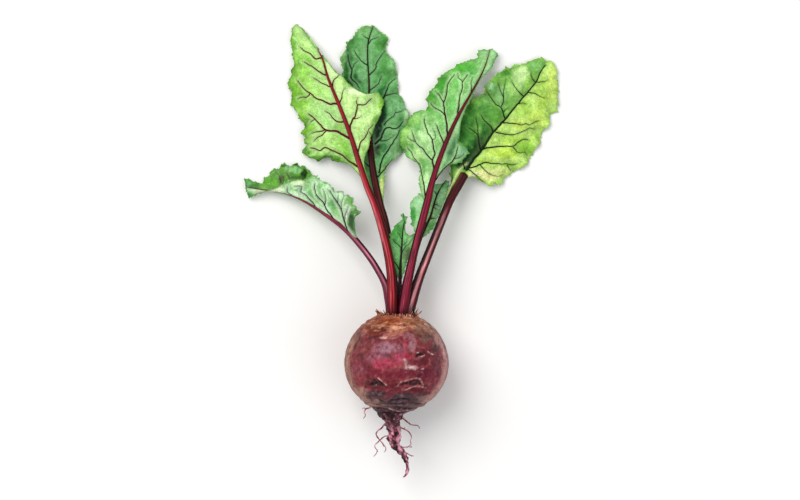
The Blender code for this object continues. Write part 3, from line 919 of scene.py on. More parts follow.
        # Painted shade over the tap root's upper part, just below the bulb.
        painted_shade_near_bulb = step(-48, -42, y) * step(-0.6, 0.0, grain(points, 2.8, 3, 35))
        tone = mix(tone, "2E0E18", tap * painted_shade_near_bulb * 0.85)
        wrinkle = np.sin(y * 2.2 + 3.2 * grain(points * (0.4, 1, 1), 8, 3, 33))
        wrinkle = step(0.3, 0.9, wrinkle) * step(-38, -34, y) * (1 - step(-30, -24, y))
        return mix(tone, "1A0810", wrinkle * 0.85)

    def build(self) -> None:
        """Makes the bulb and its tap root as one skin."""
        piece = self.shell()
        pale = self.shape(piece)
        self.colour(piece, pale)
        hand_over(piece, BEET_SKIN.build(), "root_skin", "beet_root")


@dataclass
class SideRoots:
    """The fine roots, each with a fork or two, that leave the bulb's foot and the tap root."""

    axis_height: float = AXIS_HEIGHT
    seed: int = 7
    # For each CAD node: its half-width, then its rods as x, y and height above the bulb's axis.
    roots: tuple = (
        (0.62, [
            [(-16.6, -29.8, 2), (-18.6, -31, 3), (-20.4, -31.5, 3.4), (-21.7, -33.5, 4),
             (-21.2, -36, 3.6), (-22.4, -38.4, 3)],
            [(-20.6, -31.6, 3.4), (-22.4, -31.2, 3.8), (-23.2, -31.9, 4)],
        ]),
        (0.66, [
            [(-7.2, -41.2, 1), (-8.6, -42.9, 2), (-10.4, -44.8, 3), (-13.4, -47.4, 4),
             (-13.2, -50.4, 4.6), (-9.2, -55.2, 4.8), (-7.2, -58.8, 4.2), (-8.4, -60.8, 3.6)],
            [(-13.4, -47.4, 4), (-14.2, -48.4, 4.2)],
            [(-9.4, -55, 4.8), (-8.4, -57.6, 5.2)],
        ]),
        (0.52, [
            [(-4.6, -49.6, -2), (-6.6, -50, -2), (-8.6, -50.6, -1.4), (-11, -52.8, -0.4),
             (-14.4, -56, 0.6), (-14.4, -58, 0.8), (-13, -60.6, 0.2), (-15.5, -64.1, -1)],
            [(-13.2, -60.4, 0.2), (-13.6, -62.6, 0.6)],
        ]),
        (0.62, [
            [(2.2, -37, 1), (5.2, -38.8, 2), (7.2, -40.4, 2.6), (10, -42.3, 3.4), (14.4, -42.9, 4),
             (15.9, -45, 3.6)],
            [(4.4, -38.2, 2), (5.4, -37.6, 2.4)],
        ]),
        (0.56, [
            [(1.6, -43.6, -1), (3.4, -44.6, -1), (6, -45.8, -0.4), (8.5, -47.6, 0.4), (10.2, -50.6, 1),
             (9.6, -54, 1.2), (9.8, -55.6, 1), (6.8, -58.4, 0.4)],
            [(5.2, -45.4, -0.4), (5.6, -44.2, 0)],
            [(9.2, -56.8, 0.9), (10.6, -57.8, 0.6)],
        ]),
        (0.4, [
            [(2.4, -57.4, -2), (4.6, -57.6, -2), (6, -57.8, -1.6), (7.4, -57.5, -1), (10.6, -57.8, -0.6)],
        ]),
        (0.56, [
            [(5.4, -61, -3), (7.7, -62.2, -3), (9.4, -63.2, -2.6), (12, -63.8, -2.2)],
            [(9.4, -63.2, -2.6), (10.6, -64.2, -2.4)],
        ]),
        (0.5, [
            [(0.4, -49, -3.4), (1.0, -50.6, -5.4), (2.2, -53, -7.6), (1.6, -56.5, -9.4),
             (3.4, -60.4, -10.6)],
        ]),
    )

    def build(self) -> None:
        """Makes each side root with its forks."""
        # Without a seed, noise_vector takes its offsets from the clock.
        noise.seed_set(self.seed)
        material = ROOT_FIBRE.build()
        for number, (width, rods) in enumerate(self.roots, start=1):
            routes = []
            for order, rod in enumerate(rods):
                start = width if order == 0 else 0.6 * width
                line = smooth(rod, max(12, 5 * len(rod)))
                line[:, 2] += self.axis_height
                wiggle = 0.22 * np.array([noise.noise_vector(Vector(p) / 2.4) for p in line])
                taper = np.linspace(start, 0.36 * start, len(line))
                taper *= 1 + 0.22 * grain(line, 1.6, 2, number)
                routes.append(np.column_stack([line + wiggle, taper]))
            piece = tubes(f"fine_root_{number}", routes, 3)
            points = points_of(piece)
            streak = grain(points, 3, 3, number)
            tone = mix(plain("A86876", points), "6C2A3A", step(0, 0.5, streak))
            tone = mix(tone, "D8A8B0", step(0.1, 0.6, -streak))
            paint(piece, "tone", tone)
            hand_over(piece, material, "fine_root", f"side_root_{number}")


@dataclass
class CrownScales:
    """Small papery scales that stand round the stalks' feet, left by the first leaves."""

    count: int = 46
    axis_height: float = AXIS_HEIGHT

    def build(self) -> None:
        """Makes the ring of scales as one piece."""
        routes = []
        for number in range(self.count):
            turn = number * GOLDEN_TURN
            ring = 10.5 + 4.2 * ((number * 0.618) % 1)
            in_front = max(0, math.sin(turn)) ** 2
            long = (1.4 + 2.8 * ((number * 0.377) % 1)) * (1 - 0.55 * in_front)
            out = Vector((math.cos(turn), 0, math.sin(turn)))
            bend = Vector((math.sin(turn * 3), 0.4, math.cos(turn * 5))) * 0.35
            foot = out * ring + Vector((0, 33.4 - 0.055 * (ring - 9) ** 2, self.axis_height))
            tip = foot + Vector((0, 0.8, 0)) * long + out * long * 0.75
            line = smooth([foot - Vector((0, 1.4, 0)), foot, (foot + tip) / 2 + bend, tip], 9)
            routes.append(np.column_stack([line, np.linspace(0.62, 0.1, 9)]))
        piece = tubes("crown_scales", routes, 2)
        points = points_of(piece)
        patch = grain(points, 2.2, 2, 50)
        tone = mix(plain("B4806C", points), "5A2C24", step(0.0, 0.4, patch))
        tone = mix(tone, "E4B8A8", step(0.05, 0.45, -patch) * 0.9)
        paint(piece, "tone", tone)
        hand_over(piece, DRY_STALK.build(), "dry_stalk")


@dataclass
class DryStubs:
    """The withered stubs of shed leaves round the crown, each a curled papery point."""

    base_radius: float = 1.05
    count: int = 7
    strands: tuple = (-0.7, 0.1, 0.8)

    def build(self) -> None:
        """Makes each stub where its solid stands."""
        material = DRY_STALK.build()
        for number in range(1, self.count + 1):
            node = f"dry_leaf_base_{number}"
            low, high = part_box(node)
            centre = (low + high) / 2 / MM
            out = Vector((centre.x, 0, centre.z - AXIS_HEIGHT)).normalized()
            aside = out.cross(ALONG)
            foot = Vector((centre.x, low.y / MM, centre.z)) - out * 1.2
            tip = foot + ALONG * ((high.y - low.y) / MM + 0.6) + out * 2.2
            bend = (foot + tip) / 2 + aside * 0.5 - out * 0.5
            routes = []
            for strand, spread in enumerate(self.strands):
                shift = aside * spread
                knots = [foot - ALONG * 1.6 + shift, foot + shift * 0.9, bend + shift, tip + shift * 1.6]
                line = smooth(knots, 12)
                line = line[0] + (line - line[0]) * (1 - 0.22 * strand)
                taper = np.linspace(self.base_radius * 0.75, 0.12, len(line))
                taper *= 1 + 0.25 * grain(line, 1.2, 2, strand)
                routes.append(np.column_stack([line, taper]))
            piece = tubes(f"dry_stub_{number}", routes, 2)
            points = points_of(piece)
            tone = plain("8E6048", points)
            tone = mix(tone, "4A2C22", step(0, 0.5, grain(points, 1.4, 2, number)))
            tone = mix(tone, "C49A7C", step(0.1, 0.6, -grain(points, 1.8, 2, number)) * 0.8)
            paint(piece, "tone", tone)
            hand_over(piece, material, "dry_stalk", node)


# ---------------------------------------------------------------- the leaves


@dataclass(frozen=True)
class Stripe:
    """A coloured line along a stalk.

    at is its place across the stalk and width its half-width, as shares of the stalk's half-width,
    below 0 on the left. start and stop are shares of the rod's length. Some stripes are the stalk's
    own streaks; others are painted highlights and painted shade, as noted at each leaf.
    """

    at: float
    width: float
    colour: str
    start: float = 0.0
    stop: float = 1.0
    strength: float = 0.9


@dataclass(frozen=True)
class StalkLook:
    """A stalk's colours: the painted shade on its sides, which also darkens its strings, its body and its
    stripes, and its end from end_from on.
    """

    dark: str
    body: str
    stripes: tuple[Stripe, ...]
    end: str = "5A1A1E"
    end_from: float = 0.55


@dataclass
class Leaf:
    """One leaf: its stalk, which runs on as the midrib, its blade and its side veins.

    A stalk's point is x, y, z and half-width. left and right are the blade's edges from its foot to
    its tip. side is where the blade lies from the midrib. first is the stalk's point where the
    blade starts, and rod_points how many of the stalk's points the rod has. arch, pucker and ruffle
    are heights in mm: of each half, of the quilting between veins and of the waves at the edge.
    ground, edge, the vein highlight and collar are colours: of the blade, its rim, the painted
    highlight along its veins and midrib, and the band beside its midrib. tooth is how ragged its
    edge is, flare how much the stalk widens at its foot, and pale_below how much paler the
    underside is.
    """

    name: str
    slot: str
    ground: str
    look: StalkLook
    side: tuple[float, float, float]
    first: int
    stalk: list
    left: list
    right: list
    veins: list
    washes: list
    edge: str = "6FA93C"
    vein_colour: str = "3E0C12"
    vein_end: str = "4A2C1C"
    vein_highlight: str = "C4E8A4"
    vein_highlight_strength: float = 0.25
    right_vein_highlight: float = 1.0
    rod_points: int = 99
    ruffle: float = 1.6
    arch: float = 1.6
    pucker: float = 0.9
    thickness: float = 0.5
    wave_mm: float = 17.0
    right_ground: str = ""
    collar: str = ""
    flare: float = 0.1
    tooth: float = 1.0
    pale_below: float = 0.45
    vein_girth: float = 1.0

    def rails(self, rows: int = 500) -> tuple[np.ndarray, np.ndarray, np.ndarray]:
        """The blade's middle and its two edges, each as rows of x, y, z in mm."""
        midrib = smooth(self.stalk[self.first :], rows)
        down = np.array(Vector(self.side).normalized())
        middle = midrib[:, :3] + 0.35 * midrib[:, 3:] * down
        return middle, smooth(self.left, rows), smooth(self.right, rows)

    def sheet(self) -> Piece:
        """Lays a fine grid between the midrib and the ragged edges."""
        middle, left, right = self.rails()
        grid = np.linspace(0, 1, len(middle))

        def ragged(rail: np.ndarray, shift: float) -> np.ndarray:
            """How far the edge stands out at each row, in mm."""
            bite = grain(rail, 4.6, 2, shift) * 0.9
            bite = bite + np.abs(grain(rail, 1.9, 2, shift + 1)) * 2.4 - 0.7
            return self.tooth * bite * step(0.0, 0.14, grid)

        left_bites, right_bites = ragged(left, 1.0), ragged(right, 5.0)

        def at(table: np.ndarray, u: np.ndarray) -> np.ndarray:
            """The table's rows at u."""
            return np.column_stack([np.interp(u, grid, column) for column in table.T])

        def place(u: np.ndarray, v: np.ndarray) -> np.ndarray:
            """The blade's points, in mm."""
            u = u * 0.995
            centre = at(middle, u)
            reach = np.where((v > 0)[:, None], at(right, u), at(left, u)) - centre
            bite = np.where(v > 0, np.interp(u, grid, right_bites), np.interp(u, grid, left_bites))
            span = np.maximum(np.linalg.norm(reach, axis=1), 0.1)
            grow = np.clip(bite / span, -0.25, 0.25) * np.abs(v) ** 5
            return centre + reach * (np.abs(v) * (1 + grow))[:, None]

        span = sum(np.linalg.norm(rail - middle, axis=1).max() for rail in (left, right))
        along = int(np.clip(length(middle) / 0.62, 60, 230))
        across = 2 * int(np.clip(span / 1.2, 14, 60))
        return lay_grid(f"{self.name}_leaf", along, across, place)

    def vein_lines(self, piece: Piece, spacing: float = 1.0) -> list[np.ndarray]:
        """Drops each side vein's route onto the blade.

        Args:
            piece: the blade.
            spacing: the distance between points in mm.

        Returns:
            For each vein, rows of x, y, z and half-width in mm.
        """
        tree = surface_tree(piece)
        lines = []
        for vein in self.veins:
            route = np.array([(x, y, 0) for x, y in vein.route], float)
            flat = smooth(route, max(6, int(length(route) / spacing)))
            flat[:, :2] += 0.4 * np.column_stack([grain(flat, 3.2, 2, 3), grain(flat, 3.2, 2, 6)])
            landed = drop_on(tree, flat[:, :2])
            if len(landed) > 3:
                taper = np.linspace(0.92 * vein.width, 0.4 * vein.width, len(landed))
                lines.append(np.column_stack([landed, self.vein_girth * taper]))
        return lines

    def crease(self, piece: Piece) -> None:
        """Arches the blade, quilts it between its veins and ruffles its edges, then paints it."""
        points, facing = points_of(piece), normals_of(piece)
        facing *= np.where(facing[:, 2:] < 0, -1, 1) if self.side[2] < -0.9 else 1
        middle, left, right = self.rails()
        lines = self.vein_lines(piece)
        veins = np.vstack([line[:, :3] for line in lines]) if lines else np.zeros((0, 3))
        to_vein = nearness(points, veins)
        at, to_rib = nearest(points, middle[::3])
        rib_width = smooth(self.stalk[self.first :], len(middle))[::3][at, 3]
        side = np.sign(read_back(piece, "across"))
        to_edge = nearness(points, np.vstack([left[::2], right[::2]]))
        share = to_rib / (to_rib + to_edge + 0.01)
        chord = middle[-1] - middle[0]
        along = points @ chord / np.linalg.norm(chord)
        folds = np.sin(along * 2 * math.pi / self.wave_mm + side * 1.3 + 2.2 * grain(points, 22, 2, 2))
        height = self.arch * 4 * share * (1 - share) * step(0, 6, to_rib + to_edge)
        height += self.pucker * (step(0, 4.5, np.minimum(to_vein, to_rib)) - 0.5)
        height += self.ruffle * share**2.5 * folds * step(0, 14, to_rib)
        height += 0.55 * grain(points, 11, 2, 3) * share + 0.16 * grain(points, 3.4, 2, 4)
        moved = points + facing * height[:, None]
        low = self.thickness / 2 + 0.12
        lift = moved[:, 2] - low
        moved[:, 2] = low + np.where(lift > 1.2, lift, 1.2 * np.exp(np.clip(lift, -9, 1.2) / 1.2 - 1))
        move(piece, moved)
        self.colour(piece, moved, height, to_vein, to_rib, to_edge, share, side)
        if self.collar:
            tone = read_back(piece, "tone")
            band = bell(to_rib - rib_width - 0.9, 0.8) * step(1.0, 1.8, rib_width)
            paint(piece, "tone", mix(tone, self.collar, band))

    def colour(
        self,
        piece: Piece,
        points: np.ndarray,
        height: np.ndarray,
        to_vein: np.ndarray,
        to_rib: np.ndarray,
        to_edge: np.ndarray,
        share: np.ndarray,
        side: np.ndarray,
    ) -> None:
        """Paints the blade: its ground and washes, painted shade in its hollows and painted light on its
        rises, painted highlights along its veins, and its rim.

        Args:
            piece: the blade.
            points: its vertices in mm.
            height: how far each was raised.
            to_vein: how far each is from a side vein.
            to_rib: how far each is from the midrib.
            to_edge: how far each is from the blade's edge.
            share: 0 at the midrib and 1 at the edge.
            side: -1 on the left half and 1 on the right one.
        """
        tone = plain(self.ground, points)
        if self.right_ground:
            tone = mix(tone, self.right_ground, (side > 0).astype(float))
        tone = wash_over(points, tone, self.washes, side)
        patch = 0.24 * grain(points, 6, 4, 40) + 0.18 * grain(points, 1.9, 2, 41)
        # Painted shade in the hollows and painted light on the rises of the quilting and the folds.
        relief = np.clip((height - height.mean()) / 1.8, -1, 1)
        tone = tone * (1.0 + patch + 0.2 * relief)[:, None] ** np.array([1.3, 1.0, 1.5])
        # Painted highlight along the veins and the midrib.
        strength = self.vein_highlight_strength * np.where(side > 0, self.right_vein_highlight, 1.0)
        tone = mix(tone, self.vein_highlight, strength * bell(np.minimum(to_vein, to_rib * 0.6) - 1.1, 1.0))
        tone = mix(tone, self.edge, 0.75 * bell(to_edge, 0.9) * step(0.3, 0.6, share))
        tone = mix(tone, self.vein_colour, 0.48 * bell(to_vein, 0.65))
        paint(piece, "tone", tone)

    def pale_underside(self, piece: Piece, top_count: int) -> None:
        """Makes the underside of the finished sheet paler and greyer than its upper side."""
        tone = read_back(piece, "tone")
        below = (np.arange(len(tone)) >= top_count).astype(float)
        paint(piece, "tone", mix(tone, "A4BF96", self.pale_below * below))

    def build_veins(self, sheet: Piece) -> None:
        """Makes the side veins as tapering rods half sunk in the blade."""
        lines = self.vein_lines(sheet, 0.8)
        if not lines:
            return
        for line in lines:
            line[:, 2] += 0.12
            line[-1, 2] -= 0.25
        piece = tubes(f"{self.name}_side_veins", lines, 2)
        points = points_of(piece)
        away = nearness(points, self.rails()[0][::3])
        tone = mix(plain(self.vein_colour, points), self.vein_end, step(6, 30, away) * 0.8)
        paint(piece, "tone", tone)
        hand_over(piece, LEAF_VEIN.build(), "red_stalk")

    def stalk_line(self) -> np.ndarray:
        """The rod's middle and half-width in fine steps, from inside the crown to its closed end."""
        rod = self.stalk[: self.rod_points]
        foot = np.array(rod[0], float)
        into_crown = foot + (foot - np.array(rod[1], float)) * (1.1, 1.1, 1.1, 0)
        into_crown[3] = foot[3] * 1.18
        line = smooth([tuple(into_crown), *rod], 600)
        share = np.linspace(0, 1, len(line))
        line[:, 3] *= 1 + self.flare * (1 - step(38, 60, line[:, 1]))
        line[:, 3] *= 1 - 0.999 * step(0.985, 1.0, share) ** 2
        line[:, 3] *= 1 - 0.999 * (1 - step(0, 0.008, share))
        return line

    def build_stalk(self) -> None:
        """Makes the stalk as a ribbed rod with a channel along its upper side."""
        line = self.stalk_line()
        out, up = square_to(unit(np.gradient(line[:, :3], axis=0)))

        def place(u: np.ndarray, v: np.ndarray) -> np.ndarray:
            """The rod's points, in mm."""
            at = np.round(u * (len(line) - 1)).astype(int)
            turn = v * math.pi
            channel = bell(turn - math.pi / 2, 0.42)
            width = line[at, 3] * (1 - 0.16 * channel + 0.04 * np.cos(turn * 11))
            ring = np.cos(turn)[:, None] * out[at] + np.sin(turn)[:, None] * up[at]
            return line[at, :3] + width[:, None] * ring

        run = length(line[:, :3])
        piece = lay_grid(f"{self.name}_petiole", int(run / 0.9), 64, place)
        points = points_of(piece)
        at, _ = nearest(points, line[:, :3])
        away = points - line[at, :3]
        aside, above = (away * out[at]).sum(1), (away * up[at]).sum(1)
        along = at / len(line)
        lie = np.column_stack([aside + 20, along * run, above + 20])
        self.colour_stalk(piece, aside / np.maximum(line[at, 3], 0.2), along, lie)
        paint(piece, "lie", lie * MM)
        close_up(piece)
        hand_over(piece, BEET_STALK.build(), "red_stalk", f"{self.name}_stalk")

    def colour_stalk(self, piece: Piece, across: np.ndarray, along: np.ndarray, lie: np.ndarray) -> None:
        """Paints the stalk's body, the painted shade on its sides, its stripes, some of them painted
        highlights and shade, its strings, and painted shade over its foot.

        Args:
            piece: the rod.
            across: from -1 to 1 across the rod, for each vertex.
            along: from 0 to 1 along it.
            lie: the place of each vertex across, along and above the rod's middle, in mm.
        """
        look = self.look
        points = points_of(piece)
        strings = grain(lie * (1, 0.05, 1), 0.9, 3, len(self.name))
        broad = grain(lie * (1, 0.12, 1), 2.6, 2, len(self.name) + 3)
        tone = plain(look.body, points)
        # Painted shade down both sides of the rod.
        tone = mix(tone, look.dark, step(0.55, 0.95, np.abs(across) + 0.25 * broad) * 0.9)
        for stripe in look.stripes:
            off = (across - stripe.at - 0.1 * broad) / stripe.width
            runs = step(stripe.start - 0.05, stripe.start + 0.05, along)
            runs *= 1 - step(stripe.stop - 0.08, stripe.stop + 0.08, along)
            share = np.exp(-(off**4)) * runs * stripe.strength * (0.9 + 0.5 * strings)
            tone = mix(tone, stripe.colour, share)
        tone = mix(tone, look.dark, step(0.08, 0.45, strings) * 0.6)
        tone = mix(tone, look.end, step(look.end_from, 1.0, along) * 0.8)
        # Painted shade over the stalk's foot by the crown.
        foot = (1 - step(31, 42, points[:, 1])) * (0.55 + 0.5 * step(-0.1, 0.3, strings))
        paint(piece, "tone", mix(tone, "2A0610", foot))

    def build(self) -> None:
        """Makes the whole leaf."""
        self.build_stalk()
        sheet = self.sheet()
        self.crease(sheet)
        self.build_veins(sheet)
        top_count = len(sheet.data.vertices)
        wall = sheet.modifiers.new("Thickness", "SOLIDIFY")
        wall.thickness = self.thickness * MM
        wall.offset = 0
        apply_all(sheet)
        self.pale_underside(sheet, top_count)
        pick(sheet)
        bpy.ops.object.shade_smooth()
        hand_over(sheet, LEAF_BLADE.build(), self.slot, f"{self.name}_blade")


L, R = Half.LEFT, Half.RIGHT

TALL_LEFT = Leaf(
    name="tall_left",
    slot="leaf_bright",
    ground="AEDB84",
    look=StalkLook(
        "5A0A14", "A01C2C",
        # The pale pink stripes DC7C86 and D87680 are painted highlights; the dark stripes 4A0810 and
        # 6A1420 along the sides and the broad 5E1020 over the foot are painted shade.
        (Stripe(-0.6, 0.34, "DC7C86", 0.26, 0.56, 0.85), Stripe(-0.25, 0.12, "D87680", 0.0, 0.36, 0.85),
         Stripe(0.28, 0.1, "C8505E", 0.0, 0.3, 0.7), Stripe(0.72, 0.28, "4A0810", 0.0, 0.8, 0.85),
         Stripe(-0.86, 0.16, "6A1420", 0.0, 0.3), Stripe(0.0, 1.6, "5E1020", -0.2, 0.05, 0.6)),
        "7A1420", 0.7,
    ),
    side=(0, 0, -1),
    first=6,
    stalk=[
        (-2.9, 33, 40.7, 3.4), (-2.9, 37, 41.0, 3.4), (-3.1, 50, 41.2, 3.3), (-4.3, 65, 39.0, 3.0),
        (-8.3, 85, 34.8, 2.8), (-14.3, 105, 30.2, 2.5), (-20.0, 119, 27.0, 2.2), (-25.4, 135, 23.8, 1.9),
        (-31.7, 155, 20.4, 1.5), (-39.3, 175, 17.2, 1.2), (-46.2, 192, 13.6, 0.9),
        (-50.0, 205, 10.8, 0.6), (-54.0, 213, 8.6, 0.25), (-60.5, 222, 5.4, 0.22),
        (-68.6, 230, 2.8, 0.18),
    ],
    left=[
        (-20.5, 119, 27), (-25, 126.2, 23.4), (-29, 131, 19), (-32.5, 134.6, 15), (-36.5, 135.6, 12.5),
        (-41, 135.9, 10), (-44.6, 136.6, 8.4), (-46, 138.4, 7.6), (-50, 138.6, 6.6), (-52.4, 138.2, 6),
        (-53.6, 136.4, 5.6), (-54.8, 138.2, 5.4), (-58, 139.2, 4.6), (-62, 140.4, 3.8),
        (-64.4, 142.8, 3.4), (-62.8, 146, 4.2), (-61.6, 148, 4.6), (-63, 150, 3.8), (-61.2, 152, 4.2),
        (-64.8, 155.4, 3.2), (-63.2, 158.4, 3.2), (-63, 162, 3), (-65.8, 164.6, 2.6), (-65.6, 167.6, 2.6),
        (-69, 172, 2.2), (-72.2, 176, 2), (-71.4, 180, 2.4), (-72, 185, 2.2), (-73.8, 189.4, 1.8),
        (-72, 193.4, 2.4), (-71.4, 195.4, 2.6), (-72.4, 198, 2.4), (-69.8, 201.6, 3), (-69.4, 205, 3.2),
        (-71, 210, 2.6), (-72.2, 216, 2.2), (-71.9, 222, 2.2), (-70.6, 227, 2.4), (-68.6, 230, 2.8),
    ],
    right=[
        (-17.5, 119, 27), (-20.4, 128, 23.6), (-22.4, 135, 21), (-21, 141, 19), (-19, 147, 17),
        (-16, 155, 14), (-13, 163, 11.8), (-10.8, 170, 10), (-8.4, 176.6, 9), (-10, 180, 9),
        (-12.6, 182.8, 9), (-16, 181.2, 9.4), (-20, 180.6, 10), (-24, 182.4, 10), (-29, 186, 10.4),
        (-34, 191, 11), (-38.5, 195.2, 11.2), (-41.6, 197.2, 11.4), (-46, 203.4, 10.8), (-49.8, 207, 10),
        (-53.2, 212.2, 8.4), (-56, 215, 7.2), (-58.4, 218.4, 6), (-61.6, 223.4, 4.4), (-64.6, 227, 3.4),
        (-68.6, 230, 2.8),
    ],
    veins=[
        Vein([(-51, 206.4), (-55, 206), (-58, 209), (-61.5, 211), (-66, 214.5)], 0.5),
        Vein([(-47.4, 195), (-50, 195.5), (-54, 198), (-57.5, 201), (-60, 202), (-63.4, 204)], 0.5),
        Vein([(-44.4, 186.4), (-50, 189), (-53, 191), (-57, 193.5)], 0.42),
        Vein([(-39.6, 175), (-43, 175.5), (-45, 174.8), (-50, 177.5), (-53.5, 178.5), (-58.5, 182.5),
              (-62, 185), (-67.5, 191.5)], 0.62),
        Vein([(-58.5, 182.5), (-60.5, 180), (-64, 180), (-67, 179)], 0.4),
        Vein([(-35.4, 163), (-39.5, 163), (-43, 165.5), (-45, 168), (-48, 170)], 0.55),
        Vein([(-31, 151), (-36, 154), (-41, 156.5), (-48, 157.5), (-52.5, 162), (-55.5, 165),
              (-59.6, 168.6)], 0.8),
        Vein([(-48.5, 157.6), (-51, 156.6), (-55, 156.3), (-58.5, 154.5)], 0.42),
        Vein([(-47.6, 157.2), (-50.5, 154), (-54, 152), (-56.5, 149.5)], 0.42),
        Vein([(-55.5, 165), (-57, 163.6), (-59, 162.5)], 0.35),
        Vein([(-25.6, 132), (-31.5, 136), (-36, 140), (-41, 142.5), (-47, 145.2), (-49.5, 145),
              (-52, 143.5), (-55.5, 144.8), (-59, 145.5)], 0.7),
        Vein([(-43.6, 186), (-43, 190), (-41, 193), (-38.8, 194.8)], 0.5),
        Vein([(-39, 175), (-37.5, 178), (-37, 182), (-36.5, 184), (-35, 185.5)], 0.45),
        Vein([(-31.8, 157), (-30.5, 163), (-28, 167), (-27, 171), (-26.5, 174.5), (-22.5, 174.5),
              (-20, 176), (-17, 179)], 0.6),
        Vein([(-26.5, 174.5), (-27.5, 176), (-26.5, 178.5)], 0.36),
        Vein([(-29.5, 164.5), (-27, 165), (-24, 166.5)], 0.36),
        Vein([(-26.4, 140), (-25, 147), (-22, 151.5), (-19.5, 156), (-18.5, 158.5), (-16, 161)], 0.5),
        Vein([(-18.7, 156), (-17.4, 154.4), (-15.6, 155)], 0.3),
    ],
    washes=[
        Wash(-62, 172, 13, 24, "98CC5E", 0.7), Wash(-71, 186, 6, 28, "74AE34", 0.85),
        Wash(-62, 160, 8, 12, "7DB53C", 0.9), Wash(-66, 178, 6, 10, "86BE46", 0.8),
        Wash(-48, 150, 16, 5, "B2DA82", 0.6), Wash(-50, 138.0, 22, 2.4, "5E9A34", 0.8, L),
        Wash(-62, 143, 5, 3, "5E9A34", 0.8, L), Wash(-66, 222, 8, 12, "AEDA82", 0.7),
        Wash(-48, 168, 13, 12, "B0DC92", 0.7), Wash(-56, 204, 8, 12, "A2D27A", 0.6),
        Wash(-24, 184, 14, 3, "E2F4C8", 0.7, R), Wash(-44, 200, 4, 8, "D2EEB0", 0.8, R),
        Wash(-20, 168, 8, 12, "C2E69A", 0.7, R), Wash(-10, 176, 3.4, 8, "8CC44C", 0.85),
        # The darker green patches 8CC850 and 7DBA48 left of the midrib are painted shade.
        Wash(-14.5, 161, 3, 9, "7FB84A", 0.8), Wash(-36, 152, 5, 14, "8CC850", 0.6, L),
        Wash(-31, 139, 5, 8, "7DBA48", 0.75), Wash(-72, 212, 3, 20, "6FAE3C", 0.8),
        Wash(-24, 141, 4, 8, "86B856", 0.7), Wash(-63, 202, 8, 12, "8CC452", 0.75),
    ],
    edge="5F962E",
    ruffle=1.3,
    right_ground="BEE494",
    rod_points=13,
    vein_highlight="CDEBAE",
    vein_highlight_strength=0.45,
    vein_colour="5E1216",
    vein_girth=1.3,
    vein_end="5E2C22",
    flare=0.06,
)

